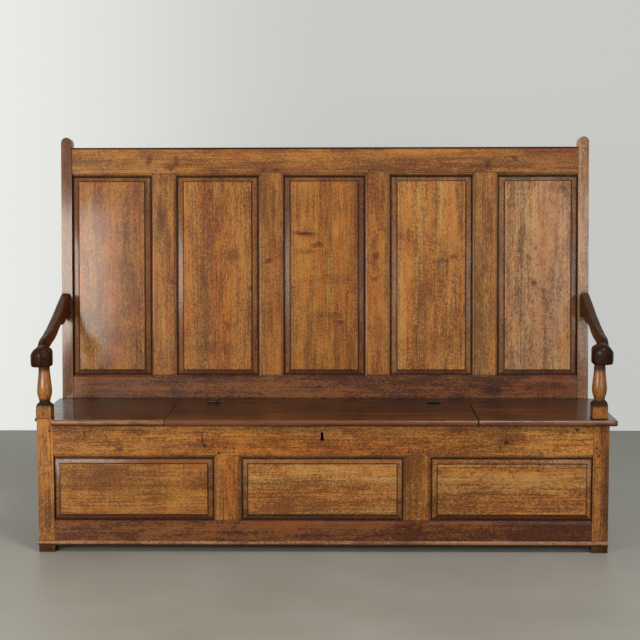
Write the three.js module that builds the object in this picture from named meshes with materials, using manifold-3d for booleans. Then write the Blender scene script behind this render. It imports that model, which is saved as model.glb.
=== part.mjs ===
// Panelled oak settle with a lift-up seat over a box. Millimetres, +Z up, +X along the bench.
// While it is built, X = 0 is the middle of the bench, Y = 0 the front face of the front posts
// and Z = 0 the floor. The inner group is then moved so that the origin is under the whole bench's middle.
import * as THREE from 'three';
import { mergeVertices } from 'three/addons/utils/BufferGeometryUtils.js';
import Module from 'manifold-3d';

const wasm = await Module();
wasm.setup();

// Overall sizes
const frontWidth = 1900;
const seatHeight = 451;
const boxDepth = 459;
const stileRise = 942;
const rakeDegrees = 4;

// Clearances and cuts
const fitGap = 0.3;
const seamGap = 0.8;
const overrun = 6;
const mergeTolerance = 1e-4;

// Framing of the front, sides and back
const railThickness = 26;
const sideRailThickness = 24;
const sideInset = 3;
const postWidth = 53;
const postDepth = 60;
const stileWidth = 38;
const stileDepth = 50;
const stileProud = 3;
const tenonThickness = 10;
const tenonSetback = 8;
const frontTenonLength = 30;
const backTenonLength = 18;
const sideTenonLength = 20;
const tenonShoulder = 9;
const muntinTenonLength = 28;

// Edges of the panel openings, and the panels in them
const quirk = 3;
const mouldDepth = 9;
const ovoloSteps = 4;
const grooveDepth = 8;
const tongueFront = 12;
const tongueBack = 17;
const tongueReach = 6.5;
const fieldDepth = 2;
const fieldStep = 2.5;

// Front of the box, heights from the floor
const frontTopRailWidth = 99.5;
const frontTopMould = 13;
const frontBottomFlatTop = 98;
const frontChamfer = 12.5;
const frontBottomRailBase = 28;
const frontMuntinOffset = 315.5;
const frontMuntinFlat = 75;
const frontSideMould = 9;
const frontBevelSide = 22;
const frontBevelEnd = 19.5;
const baseBeadLow = 22.5;
const baseBeadHeight = 18;
const baseBeadProud = 6;
const baseBeadOverhang = 2;
const beadSteps = 10;

// Back above the seat, heights along the raked stiles from the seat
const backTopRailTop = 905;
const backTopRailWidth = 91.5;
const backTopMould = 12.5;
const backSeatRailTop = 76;
const backSeatRailBase = -50;
const backChamfer = 9;
const backMuntinInner = 192.5;
const backMuntinOuter = 579;
const backMuntinFlat = 73.5;
const backSideMould = 9;
const backBevelSide = 26;
const backBevelEnd = 19;

// Back below the seat
const backBottomRailBase = 40;
const backBottomRailWidth = 72;
const backBottomRailInset = 3;
const backBoardBase = 45;
const backBoardDrop = 11;
const backBoardThickness = 16;
const backBoardRebate = 12;

// Side frames
const sideTopRailWidth = 78;
const sideBottomRailBase = 40;
const sideBottomRailWidth = 72;
const sideChamfer = 8;
const sideBevel = 24;
const sideTenonInset = 8;
const sideTenonThickness = 8;

// Seat, lid and the rails under them
const seatThickness = 20;
const seatOverhang = 22;
const seatLeftOverhang = 9;
const seatRightOverhang = 26;
const seatLeftEdge = 10;
const nosingTopRadius = 8;
const nosingUnderRadius = 7;
const seatCornerRadius = 18;
const cornerCutDepth = 14;
const lidLeft = -522;
const lidRight = 516;
const lidRear = 345;
const glueLine = 138;
const battenOffset = 400;
const battenWidth = 42;
const battenDepth = 20;
const battenFront = 45;
const battenRear = 325;
const bearerWidth = 22;
const bearerDepth = 30;
const crossRailWidth = 44;

// Floor of the box
const floorTop = 72;
const floorThickness = 12;
const floorBearerWidth = 24;
const floorBearerDepth = 18;
const floorBoards = 3;

// Arms
const armThickness = 30;
const armInset = 1;
const armRearHeight = 380;
const armTenonThickness = 12;
const armTenonHeight = 46;
const armTenonLength = 20;
const armTenonDrop = 48;
const knobOuter = 44.5;
const knobInner = 28.5;
const knobHeight = 70;
const knobFront = -12;
const knobRear = 66;
const wristPlace = 70;
const wristRidge = 15;
const wristDrop = 30;
const wristEnd = 360;

// Arm supports
const supportInset = 27;
const supportShift = -4;
const supportHeight = 173;
const rightSupportRise = 8;
const blockWidth = 50;
const blockDepth = 58;
const balusterRadius = 25;
const supportTenonRadius = 10;
const supportTopTenon = 30;
const supportFootTenon = 46;
const lathSides = 28;

// Hinges
const hingeOffset = 388;
const hingeLength = 48;
const hingeCentreKnuckle = 16;
const knuckleRadius = 4.5;
const knuckleLift = 0.4;
const pinRadius = 2;
const pinClearance = 0.15;
const leafThickness = 2;
const leafDrop = 15;
const knuckleSides = 20;

// Lock, keyhole and staple
const lockWidth = 96;
const lockHeight = 72;
const lockDepth = 20;
const lockWall = 2;
const lockWebHeight = 42;
const lockWebThickness = 2.5;
const staplePlateWidth = 34;
const staplePlateDepth = 26;
const staplePlateThickness = 2;
const stapleWidth = 4;
const stapleDepth = 9;
const stapleDrop = 25;
const stapleWall = 1.7;
const stapleRear = 17.2;
const stapleSlotSide = 2;
const boltWidth = 28;
const boltNoseLength = 12;
const boltNoseHeight = 6;
const boltNoseDepth = 4;
const boltStart = 4;
const keyholeRoundDrop = 28;
const keyholeLength = 24;
const keyholeRadius = 5;
const keyholeTopHalf = 3.5;
const keyholeFootHalf = 6.5;
const keyholeSides = 16;

// Sizes that follow from those above
const halfFront = frontWidth / 2;
const postInner = halfFront - postWidth;
const stileInner = halfFront - stileWidth;
const sideFace = halfFront - sideInset;
const sideInner = sideFace - sideRailThickness;
const seatUnderside = seatHeight - seatThickness;
const stileFront = boxDepth - stileProud;
const stileRear = stileFront + stileDepth;
const rake = THREE.MathUtils.degToRad(rakeDegrees);
const seatRear = stileFront - 2 * fitGap;
const keyholeRoundHeight = seatUnderside - keyholeRoundDrop;
const keyholeBase = keyholeRoundHeight - keyholeLength;
const backBoardTop = seatHeight - backBoardDrop;
const backBoardSplit = (backBoardBase + backBoardTop) / 2;
const supportMiddle = blockDepth / 2;
const hingeHeight = seatHeight + knuckleLift + knuckleRadius;

// Turning of the arm supports: shares of the baluster's radius and of the support's height
const blockTurningShares = [[1.7, 0.2], [1.5, 0.225], [1.28, 0.25], [1.08, 0.268], [0.92, 0.285]];
const balusterShares = [
  [0.76, 0.305], [0.71, 0.325], [0.74, 0.347], [0.83, 0.39], [0.93, 0.44], [0.985, 0.49], [1, 0.53],
  [0.985, 0.58], [0.93, 0.66], [0.86, 0.75], [0.79, 0.85], [0.75, 0.93], [0.74, 1]
];

// Side view of the arm: shares of its reach from the front face and of its rise over the knob's underside
const armTopShares = [
  [0.03, 0.3], [0.1, 0.375], [0.17, 0.42], [0.275, 0.463], [0.415, 0.546], [0.527, 0.628],
  [0.64, 0.71], [0.745, 0.802], [0.85, 0.888], [0.93, 0.952]
];
const armUnderShares = [
  [0.94, 0.565], [0.88, 0.583], [0.845, 0.572], [0.79, 0.528], [0.745, 0.512], [0.7, 0.516],
  [0.685, 0.535], [0.64, 0.526], [0.57, 0.474], [0.485, 0.396], [0.4, 0.345], [0.3, 0.305],
  [0.21, 0.262], [0.15, 0.205], [0.11, 0.12]
];

// Knob: shares of its inner or outer reach, of its depth and of its height
const knobPlanShares = [
  [0.16, 0], [-0.3, 0.08], [-0.75, 0.2], [-0.97, 0.36], [-1, 0.55], [-0.9, 0.8], [-0.5, 0.96],
  [0.5, 0.96], [0.85, 0.82], [1, 0.55], [0.96, 0.34], [0.78, 0.18], [0.5, 0.07]
];
const knobFrontShares = [
  [-0.82, 0], [-0.93, 0.1], [-1, 0.32], [-1, 0.6], [-0.93, 0.8], [-0.7, 0.94], [-0.3, 1],
  [0.35, 1], [0.68, 0.93], [0.9, 0.76], [1, 0.5], [0.98, 0.24], [0.92, 0.06], [0.86, 0]
];
const knobSideShares = [
  [0.08, 0], [0.02, 0.12], [0, 0.32], [0, 0.62], [0.05, 0.82], [0.17, 0.95], [0.4, 1],
  [0.75, 1], [0.93, 0.8], [1, 0.5], [0.97, 0.2], [0.9, 0]
];

// Closed solids from three.js geometry, and back again
function solidOf(geometry) {
  const bare = geometry.clone();
  bare.deleteAttribute('normal');
  bare.deleteAttribute('uv');
  const merged = mergeVertices(bare, mergeTolerance);
  return new wasm.Manifold(new wasm.Mesh({
    numProp: 3,
    vertProperties: merged.attributes.position.array,
    triVerts: merged.index.array
  }));
}

function geometryOf(solid) {
  const mesh = solid.getMesh();
  const geometry = new THREE.BufferGeometry();
  geometry.setAttribute('position', new THREE.BufferAttribute(mesh.vertProperties, 3));
  geometry.setIndex(new THREE.BufferAttribute(mesh.triVerts, 1));
  geometry.computeVertexNormals();
  return geometry;
}

const directions = ['x', 'y', 'z'];

function block(span) {
  const sizes = directions.map((direction) => span[direction][1] - span[direction][0]);
  const middles = directions.map((direction) => (span[direction][1] + span[direction][0]) / 2);
  return solidOf(new THREE.BoxGeometry(...sizes).translate(...middles));
}

// An outline in (y, z), (x, z) or (x, y), run along x, y or z from one place to another
function prism(direction, outline, [from, to]) {
  const shape = new THREE.Shape(outline.map(([across, up]) => new THREE.Vector2(across, up)));
  const geometry = new THREE.ExtrudeGeometry(shape, { depth: to - from, bevelEnabled: false });
  const unit = {
    x: new THREE.Vector3(1, 0, 0),
    y: new THREE.Vector3(0, 1, 0),
    z: new THREE.Vector3(0, 0, 1)
  };
  if (direction === 'x') {
    geometry.applyMatrix4(new THREE.Matrix4().makeBasis(unit.y, unit.z, unit.x));
    geometry.translate(from, 0, 0);
  } else if (direction === 'y') {
    geometry.applyMatrix4(new THREE.Matrix4().makeBasis(unit.x, unit.z, unit.y.negate()));
    geometry.translate(0, to, 0);
  } else {
    geometry.translate(0, 0, from);
  }
  return solidOf(geometry);
}

function rod(direction, radius, sides, [from, to], centre) {
  const geometry = new THREE.CylinderGeometry(radius, radius, to - from, sides);
  const middle = (from + to) / 2;
  if (direction === 'x') {
    geometry.rotateZ(Math.PI / 2).translate(middle, centre[0], centre[1]);
  } else {
    geometry.rotateX(Math.PI / 2).translate(centre[0], centre[1], middle);
  }
  return solidOf(geometry);
}

function grown(span, gap) {
  const bigger = {};
  for (const direction of directions) {
    bigger[direction] = [span[direction][0] - gap, span[direction][1] + gap];
  }
  return bigger;
}

function joined(solids) {
  return solids.reduce((whole, solid) => whole.add(solid));
}

function cutBy(solid, cutters) {
  return cutters.reduce((rest, cutter) => rest.subtract(cutter), solid);
}

// Pieces go into the groups as named meshes, each with a material of its own
function addPiece(group, name, solid, finish) {
  const material = new THREE.MeshStandardMaterial(finish);
  const mesh = new THREE.Mesh(geometryOf(solid), material);
  mesh.name = name;
  group.add(mesh);
}

const frontOak = { color: '#9c6e3c', roughness: 0.45, metalness: 0 };
const backOak = { color: '#8a5c30', roughness: 0.45, metalness: 0 };
const seatOak = { color: '#553722', roughness: 0.35, metalness: 0 };
const armOak = { color: '#3e2416', roughness: 0.35, metalness: 0 };
const supportOak = { color: '#a0703c', roughness: 0.3, metalness: 0 };
const innerOak = { color: '#7a5a3a', roughness: 0.7, metalness: 0 };
const beadOak = { color: '#7c5240', roughness: 0.4, metalness: 0 };
const iron = { color: '#3a3633', roughness: 0.5, metalness: 1 };

// A panel opening is cut through the frame round it. Its edge is square, chamfered or an ovolo
// with a quirk, given as offsets from the sight line against depths from the frame's face.
function edgeProfile(edge) {
  if (edge.shape === 'chamfer') {
    return [[0, edge.width], [edge.width + overrun, -overrun]];
  }
  if (edge.shape === 'ovolo') {
    const points = [];
    for (let step = ovoloSteps; step >= 0; step -= 1) {
      const angle = (step / ovoloSteps) * (Math.PI / 2);
      const offset = edge.width * (1 - Math.sin(angle));
      points.push([offset, quirk + (mouldDepth - quirk) * (1 - Math.cos(angle))]);
    }
    points.push([edge.width, -overrun]);
    return points;
  }
  return [[0, -overrun]];
}

function openingSection([low, high], lowEdge, highEdge) {
  const lowSide = edgeProfile(lowEdge).map(([offset, depth]) => [low - offset, depth]);
  const highSide = edgeProfile(highEdge).map(([offset, depth]) => [high + offset, depth]);
  const behind = railThickness + overrun;
  return [[low, behind], ...lowSide, ...highSide.reverse(), [high, behind]];
}

function openingCutter(opening) {
  const { x, z, edges } = opening;
  const plan = openingSection(x, edges.left, edges.right);
  const upright = openingSection(z, edges.bottom, edges.top).map(([height, depth]) => [depth, height]);
  const beyond = grooveDepth + mouldDepth + overrun + overrun;
  const cutX = [x[0] - beyond, x[1] + beyond];
  const cutZ = [z[0] - beyond, z[1] + beyond];
  const hole = prism('z', plan, cutZ).intersect(prism('x', upright, cutX));
  const groove = block({
    x: [x[0] - grooveDepth, x[1] + grooveDepth],
    y: [tongueFront - fitGap, tongueBack + fitGap],
    z: [z[0] - grooveDepth, z[1] + grooveDepth]
  });
  return hole.add(groove);
}

// A raised and fielded panel: the bevels meet in mitres because two sections are intersected
function panelSection([low, high], bevel) {
  return [
    [low - tongueReach, tongueBack], [low - tongueReach, tongueFront], [low, tongueFront],
    [low + bevel, fieldDepth + fieldStep], [low + bevel, fieldDepth],
    [high - bevel, fieldDepth], [high - bevel, fieldDepth + fieldStep],
    [high, tongueFront], [high + tongueReach, tongueFront], [high + tongueReach, tongueBack]
  ];
}

function fieldedPanel(opening, bevelSide, bevelEnd) {
  const plan = panelSection(opening.x, bevelSide);
  const upright = panelSection(opening.z, bevelEnd).map(([height, depth]) => [depth, height]);
  const reachX = [opening.x[0] - grooveDepth, opening.x[1] + grooveDepth];
  const reachZ = [opening.z[0] - grooveDepth, opening.z[1] + grooveDepth];
  return prism('z', plan, reachZ).intersect(prism('x', upright, reachX));
}

// A tenon starts inside its rail, so that the two join, and fills a mortise but for the fit gap
const tenonDepthSpan = [tenonSetback, tenonSetback + tenonThickness];

function railTenon(rail, side, length) {
  const end = side < 0 ? rail.x[0] : rail.x[1];
  const tip = end + side * length;
  const root = end - side * overrun;
  return {
    x: [Math.min(tip, root), Math.max(tip, root)],
    y: tenonDepthSpan,
    z: [rail.z[0] + tenonShoulder, rail.z[1] - tenonShoulder]
  };
}

function muntinTenon(centre, flat, side, end) {
  const tip = end + side * muntinTenonLength;
  const root = end - side * overrun;
  return {
    x: [centre - flat / 2 + tenonShoulder, centre + flat / 2 - tenonShoulder],
    y: tenonDepthSpan,
    z: [Math.min(tip, root), Math.max(tip, root)]
  };
}

// A muntin's head is mitred, so that its flat runs up to the flat of the rail above it
function muntinOutline(muntin, gap) {
  const flat = muntin.flat / 2 + gap;
  const sight = muntin.flat / 2 + muntin.mould + gap;
  return [
    [muntin.centre - sight, muntin.low - gap], [muntin.centre + sight, muntin.low - gap],
    [muntin.centre + sight, muntin.high - muntin.headMould + gap], [muntin.centre + flat, muntin.high + gap],
    [muntin.centre - flat, muntin.high + gap], [muntin.centre - sight, muntin.high - muntin.headMould + gap]
  ];
}

function muntinSolid(muntin) {
  const body = prism('y', muntinOutline(muntin, 0), [0, railThickness]);
  const head = block(muntinTenon(muntin.centre, muntin.flat, 1, muntin.high));
  const foot = block(muntinTenon(muntin.centre, muntin.flat, -1, muntin.low));
  return joined([body, head, foot]);
}

function headSocket(muntin) {
  const notch = prism('y', muntinOutline(muntin, fitGap), [-overrun, railThickness + overrun]);
  const mortise = block(grown(muntinTenon(muntin.centre, muntin.flat, 1, muntin.high), fitGap));
  return notch.add(mortise);
}

function footSocket(muntin) {
  return block(grown(muntinTenon(muntin.centre, muntin.flat, -1, muntin.low), fitGap));
}

// Openings between a left and a right limit, parted by muntins
function openingsBetween(limit, muntins, z, edges) {
  const lefts = [-limit, ...muntins.map((muntin) => muntin.centre + muntin.flat / 2 + muntin.mould)];
  const rights = [...muntins.map((muntin) => muntin.centre - muntin.flat / 2 - muntin.mould), limit];
  return lefts.map((left, index) => ({
    x: [left, rights[index]],
    z,
    edges: {
      left: index === 0 ? edges.post : edges.muntin,
      right: index === muntins.length ? edges.post : edges.muntin,
      top: edges.top,
      bottom: edges.bottom
    }
  }));
}

const squareEdge = { shape: 'square', width: 0 };

// Groups: the raked back turns about the line where it meets the seat
const settle = new THREE.Group();
const bench = new THREE.Group();
const backFrame = new THREE.Group();
backFrame.position.set(0, boxDepth, seatHeight);
backFrame.rotation.x = -rake;
backFrame.updateMatrix();
bench.add(backFrame);
settle.add(bench);

function raked(solid) {
  return solidOf(geometryOf(solid).applyMatrix4(backFrame.matrix));
}

function stileFrontAt(height) {
  return stileFront + Math.tan(rake) * Math.max(height - seatHeight, 0);
}

// Front of the box
const frontTopRail = {
  x: [-postInner + fitGap, postInner - fitGap],
  y: [0, railThickness],
  z: [seatUnderside - frontTopRailWidth - frontTopMould, seatUnderside]
};
const frontBottomRail = {
  x: [-postInner + fitGap, postInner - fitGap],
  y: [0, railThickness],
  z: [frontBottomRailBase, frontBottomFlatTop + frontChamfer]
};
const frontMuntins = [-frontMuntinOffset, frontMuntinOffset].map((centre) => ({
  centre,
  flat: frontMuntinFlat,
  mould: frontSideMould,
  headMould: frontTopMould,
  low: frontBottomRail.z[1] + fitGap,
  high: frontTopRail.z[0] + frontTopMould - fitGap
}));
const frontOpenings = openingsBetween(postInner, frontMuntins, [frontBottomRail.z[1], frontTopRail.z[0]], {
  post: squareEdge,
  muntin: { shape: 'ovolo', width: frontSideMould },
  top: { shape: 'ovolo', width: frontTopMould },
  bottom: { shape: 'chamfer', width: frontChamfer }
});
const frontCutters = frontOpenings.map(openingCutter);

function keyholeCutter([from, to]) {
  const slot = prism('y', [
    [-keyholeFootHalf, keyholeBase], [keyholeFootHalf, keyholeBase],
    [keyholeTopHalf, keyholeRoundHeight], [-keyholeTopHalf, keyholeRoundHeight]
  ], [from, to]);
  const round = new THREE.CylinderGeometry(keyholeRadius, keyholeRadius, to - from, keyholeSides);
  round.translate(0, (from + to) / 2, keyholeRoundHeight);
  return slot.add(solidOf(round));
}

function makeFrontRails() {
  const topTenons = [-1, 1].map((side) => railTenon(frontTopRail, side, frontTenonLength));
  const bottomTenons = [-1, 1].map((side) => railTenon(frontBottomRail, side, frontTenonLength));
  const top = joined([block(frontTopRail), ...topTenons.map(block)]);
  const bottom = joined([block(frontBottomRail), ...bottomTenons.map(block)]);
  const keyhole = keyholeCutter([-overrun, railThickness + overrun]);
  const topCuts = [...frontCutters, ...frontMuntins.map(headSocket), keyhole];
  addPiece(bench, 'front_top_rail', cutBy(top, topCuts), frontOak);
  const bottomCuts = [...frontCutters, ...frontMuntins.map(footSocket)];
  addPiece(bench, 'front_bottom_rail', cutBy(bottom, bottomCuts), frontOak);
  return [...topTenons, ...bottomTenons];
}

function makeFrontMuntinsAndPanels() {
  ['left', 'right'].forEach((side, index) => {
    const solid = cutBy(muntinSolid(frontMuntins[index]), frontCutters);
    addPiece(bench, `front_muntin_${side}`, solid, frontOak);
  });
  ['left', 'centre', 'right'].forEach((place, index) => {
    const solid = fieldedPanel(frontOpenings[index], frontBevelSide, frontBevelEnd);
    addPiece(bench, `front_panel_${place}`, solid, frontOak);
  });
}

function makeBaseMoulding() {
  const outline = [];
  for (let step = 0; step <= beadSteps; step += 1) {
    const angle = (step / beadSteps) * Math.PI - Math.PI / 2;
    const half = baseBeadHeight / 2;
    outline.push([-baseBeadProud * Math.cos(angle), baseBeadLow + half + half * Math.sin(angle)]);
  }
  const reach = halfFront + baseBeadOverhang;
  addPiece(bench, 'base_moulding', prism('x', outline, [-reach, reach]), beadOak);
}

// Side frames stand between a front post and a back stile. Their own x runs along the bench's
// depth and their y inwards from the outer face, so each stands in a turned group.
const sideTopRailSpan = [seatUnderside - sideTopRailWidth, seatUnderside];
const sideBottomRailSpan = [sideBottomRailBase, sideBottomRailBase + sideBottomRailWidth];
const sideOpeningHeights = [sideBottomRailSpan[1], sideTopRailSpan[0]];

function sideAlong(side) {
  return side > 0 ? [postDepth, stileFront] : [-stileFront, -postDepth];
}

function sideOpening(side) {
  return {
    x: sideAlong(side),
    z: sideOpeningHeights,
    edges: {
      left: squareEdge,
      right: squareEdge,
      top: squareEdge,
      bottom: { shape: 'chamfer', width: sideChamfer }
    }
  };
}

function sideTenons(side, heights) {
  const [low, high] = sideAlong(side);
  const y = [sideTenonInset, sideTenonInset + sideTenonThickness];
  const z = [heights[0] + tenonShoulder, heights[1] - tenonShoulder];
  return [
    { x: [low - sideTenonLength, low + overrun], y, z },
    { x: [high - overrun, high + sideTenonLength], y, z }
  ];
}

function sideGroup(side) {
  const group = new THREE.Group();
  group.rotation.z = (side * Math.PI) / 2;
  group.position.x = side * sideFace;
  group.updateMatrix();
  return group;
}

function makeSideFrame(side, label) {
  const group = sideGroup(side);
  bench.add(group);
  const [low, high] = sideAlong(side);
  const x = [low + fitGap, high - fitGap];
  const y = [0, sideRailThickness];
  const cutter = openingCutter(sideOpening(side));
  const rails = { top: sideTopRailSpan, bottom: sideBottomRailSpan };
  for (const [name, z] of Object.entries(rails)) {
    const rail = joined([block({ x, y, z }), ...sideTenons(side, z).map(block)]);
    addPiece(group, `side_${name}_rail_${label}`, rail.subtract(cutter), frontOak);
  }
  const panel = fieldedPanel(sideOpening(side), sideBevel, sideBevel);
  addPiece(group, `side_panel_${label}`, panel, frontOak);
}

// What the side frames take out of the post and the stile beside them
function sideSockets(side) {
  const group = sideGroup(side);
  const tenons = [...sideTenons(side, sideTopRailSpan), ...sideTenons(side, sideBottomRailSpan)];
  const cutters = [...tenons.map((tenon) => block(grown(tenon, fitGap))), openingCutter(sideOpening(side))];
  return cutters.map((cutter) => solidOf(geometryOf(cutter).applyMatrix4(group.matrix)));
}

// The arm supports don't stand quite in the middle of the posts, and the right one is taller
function supportPlace(side) {
  return side * (halfFront - supportInset) + supportShift;
}

function supportRise(side) {
  return side > 0 ? rightSupportRise : 0;
}

function knobUnderside(side) {
  return seatHeight + supportHeight + supportRise(side);
}

function supportFoot(side, gap) {
  const centre = [supportPlace(side), supportMiddle];
  const reach = [seatHeight - supportFootTenon - gap, seatHeight + overrun];
  return rod('z', supportTenonRadius + gap, lathSides, reach, centre);
}

// The seat board is cut away round the front of the left post, which runs up to the seat's top there
function makeFrontPosts(frontTenons) {
  for (const side of [-1, 1]) {
    const x = side < 0 ? [-halfFront, -postInner] : [postInner, halfFront];
    let post = block({ x, y: [0, postDepth], z: [0, seatUnderside] });
    if (side < 0) {
      post = post.add(block({ x, y: [0, cornerCutDepth], z: [seatUnderside - overrun, seatHeight] }));
    }
    const mortises = frontTenons.map((tenon) => block(grown(tenon, fitGap)));
    const cuts = [...mortises, ...frontCutters, ...sideSockets(side), supportFoot(side, fitGap)];
    addPiece(bench, `front_post_${side < 0 ? 'left' : 'right'}`, cutBy(post, cuts), frontOak);
  }
}

// Raked back above the seat
const backTopRail = {
  x: [-stileInner + fitGap, stileInner - fitGap],
  y: [0, railThickness],
  z: [backTopRailTop - backTopRailWidth - backTopMould, backTopRailTop]
};
const backSeatRail = {
  x: [-stileInner + fitGap, stileInner - fitGap],
  y: [0, railThickness],
  z: [backSeatRailBase, backSeatRailTop + backChamfer]
};
const backMuntins = [-backMuntinOuter, -backMuntinInner, backMuntinInner, backMuntinOuter].map((centre) => ({
  centre,
  flat: backMuntinFlat,
  mould: backSideMould,
  headMould: backTopMould,
  low: backSeatRail.z[1] + fitGap,
  high: backTopRail.z[0] + backTopMould - fitGap
}));
const backOpenings = openingsBetween(stileInner, backMuntins, [backSeatRail.z[1], backTopRail.z[0]], {
  post: squareEdge,
  muntin: { shape: 'ovolo', width: backSideMould },
  top: { shape: 'ovolo', width: backTopMould },
  bottom: { shape: 'chamfer', width: backChamfer }
});
const backCutters = backOpenings.map(openingCutter);

// The seat rail's tenon keeps clear of the side rail's tenon below the seat
function seatRailTenon(side) {
  const tenon = railTenon(backSeatRail, side, backTenonLength);
  return { ...tenon, z: [tenonShoulder, tenon.z[1]] };
}

function makeBackFrame() {
  const topTenons = [-1, 1].map((side) => railTenon(backTopRail, side, backTenonLength));
  const seatTenons = [-1, 1].map(seatRailTenon);
  const top = joined([block(backTopRail), ...topTenons.map(block)]);
  const seat = joined([block(backSeatRail), ...seatTenons.map(block)]);
  const topCuts = [...backCutters, ...backMuntins.map(headSocket)];
  const seatCuts = [...backCutters, ...backMuntins.map(footSocket)];
  addPiece(backFrame, 'back_top_rail', cutBy(top, topCuts), backOak);
  addPiece(backFrame, 'back_seat_rail', cutBy(seat, seatCuts), backOak);
  backMuntins.forEach((muntin, index) => {
    addPiece(backFrame, `back_muntin_${index + 1}`, cutBy(muntinSolid(muntin), backCutters), backOak);
  });
  backOpenings.forEach((opening, index) => {
    const panel = fieldedPanel(opening, backBevelSide, backBevelEnd);
    addPiece(backFrame, `back_panel_${index + 1}`, panel, backOak);
  });
  return [...topTenons, ...seatTenons];
}

// Back below the seat: a bottom rail, and two boards nailed over it in rebates of the stiles
const backBottomRail = {
  x: [-stileInner + fitGap, stileInner - fitGap],
  y: [boxDepth + backBottomRailInset, boxDepth + backBottomRailInset + railThickness],
  z: [backBottomRailBase, backBottomRailBase + backBottomRailWidth]
};
const backBoardFront = backBottomRail.y[1] + fitGap;

function backBottomTenon(side) {
  const tenon = railTenon(backBottomRail, side, backTenonLength);
  return { ...tenon, y: tenonDepthSpan.map((depth) => backBottomRail.y[0] + depth) };
}

function makeLowerBack() {
  const rail = joined([block(backBottomRail), ...[-1, 1].map((side) => block(backBottomTenon(side)))]);
  addPiece(bench, 'back_bottom_rail', rail, innerOak);
  const reach = stileInner + backBoardRebate - fitGap;
  const spans = { lower: [backBoardBase, backBoardSplit], upper: [backBoardSplit + fitGap, backBoardTop] };
  for (const [name, z] of Object.entries(spans)) {
    const board = block({
      x: [-reach, reach],
      y: [backBoardFront, backBoardFront + backBoardThickness],
      z
    });
    addPiece(bench, `back_board_${name}`, board, innerOak);
  }
}

// Arms, seen from the side as an ogee with a cusp under its rear end, with a faceted knob in front
const rearTop = seatHeight + armRearHeight;
const armReach = stileFrontAt(rearTop);

function armHeight(side, share) {
  const low = knobUnderside(side);
  return low + share * (rearTop - low);
}

function armOutline(side) {
  const point = ([reachShare, riseShare]) => [reachShare * armReach, armHeight(side, riseShare)];
  const under = armUnderShares.map(point);
  const rearLow = under[0][1];
  return [
    ...armTopShares.map(point),
    [stileFrontAt(rearTop) - fitGap, rearTop], [stileFrontAt(rearLow) - fitGap, rearLow],
    ...under
  ];
}

// The arm's height at a place along it, between two points of its upper outline
function armTopAt(side, place) {
  const share = place / armReach;
  const next = armTopShares.findIndex(([reachShare]) => reachShare >= share);
  const [before, after] = [armTopShares[next - 1], armTopShares[next]];
  const between = (share - before[0]) / (after[0] - before[0]);
  return armHeight(side, before[1] + between * (after[1] - before[1]));
}

// All that lies beyond a plane through three points, as a large block
function beyondPlane([first, second, third]) {
  const normal = second.clone().sub(first).cross(third.clone().sub(first)).normalize();
  const geometry = new THREE.BoxGeometry(frontWidth, frontWidth, frontWidth);
  geometry.translate(0, 0, frontWidth / 2);
  geometry.applyQuaternion(new THREE.Quaternion().setFromUnitVectors(new THREE.Vector3(0, 0, 1), normal));
  geometry.translate(first.x, first.y, first.z);
  return solidOf(geometry);
}

// The inner upper arris is cut away more and more towards the wrist, where a ridge is left
function wristCut(side) {
  const inner = side * (halfFront + armInset - armThickness);
  const wristTop = armTopAt(side, wristPlace);
  const points = [
    new THREE.Vector3(inner, wristEnd, armTopAt(side, wristEnd)),
    new THREE.Vector3(inner, wristPlace, wristTop - wristDrop),
    new THREE.Vector3(inner + side * wristRidge, wristPlace, wristTop)
  ];
  return beyondPlane(side > 0 ? points : points.reverse());
}

function knobSolid(side) {
  const reach = (share) => supportPlace(side) + side * share * (share < 0 ? knobInner : knobOuter);
  const depth = (share) => knobFront + share * (knobRear - knobFront);
  const height = (share) => knobUnderside(side) + share * knobHeight;
  const plan = knobPlanShares.map(([across, along]) => [reach(across), depth(along)]);
  const front = knobFrontShares.map(([across, up]) => [reach(across), height(up)]);
  const profile = knobSideShares.map(([along, up]) => [depth(along), height(up)]);
  const across = [reach(-1), reach(1)].sort((low, high) => low - high);
  return prism('z', plan, [height(0), height(1)])
    .intersect(prism('y', front, [knobFront, knobRear]))
    .intersect(prism('x', profile, across));
}

function armTenon(side) {
  const outer = halfFront + armInset;
  const middle = side * (outer - armThickness / 2);
  const top = seatHeight + armRearHeight - armTenonDrop + armTenonHeight / 2;
  return {
    x: [middle - armTenonThickness / 2, middle + armTenonThickness / 2],
    y: [stileFront - overrun, stileFrontAt(top) + armTenonLength],
    z: [top - armTenonHeight, top]
  };
}

function makeArms() {
  for (const side of [-1, 1]) {
    const outer = side * (halfFront + armInset);
    const inner = outer - side * armThickness;
    const across = [Math.min(outer, inner), Math.max(outer, inner)];
    const plank = prism('x', armOutline(side), across).subtract(wristCut(side));
    const arm = joined([plank, knobSolid(side), block(armTenon(side))]);
    const centre = [supportPlace(side), supportMiddle];
    const reach = [knobUnderside(side) - overrun, knobUnderside(side) + supportTopTenon + fitGap];
    const socket = rod('z', supportTenonRadius + fitGap, lathSides, reach, centre);
    addPiece(bench, `arm_${side < 0 ? 'left' : 'right'}`, arm.subtract(socket), armOak);
  }
}

// A square block, turned above into a shoulder, a neck and a baluster, with a round tenon at each end
function turnedProfile(side) {
  const rise = supportRise(side);
  const scaled = ([radius, height]) => [radius * balusterRadius, height * supportHeight + rise];
  const block = blockTurningShares.map(scaled);
  const baluster = balusterShares.map(scaled);
  baluster[baluster.length - 1][1] -= fitGap;
  const topRadius = baluster[baluster.length - 1][0];
  const top = supportHeight + rise;
  return [
    [0, fitGap], [block[0][0], fitGap], ...block, ...baluster,
    [Math.min(supportTenonRadius, topRadius), top - fitGap], [supportTenonRadius, top + supportTopTenon],
    [0, top + supportTopTenon]
  ].map(([radius, height]) => new THREE.Vector2(radius, height));
}

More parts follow.
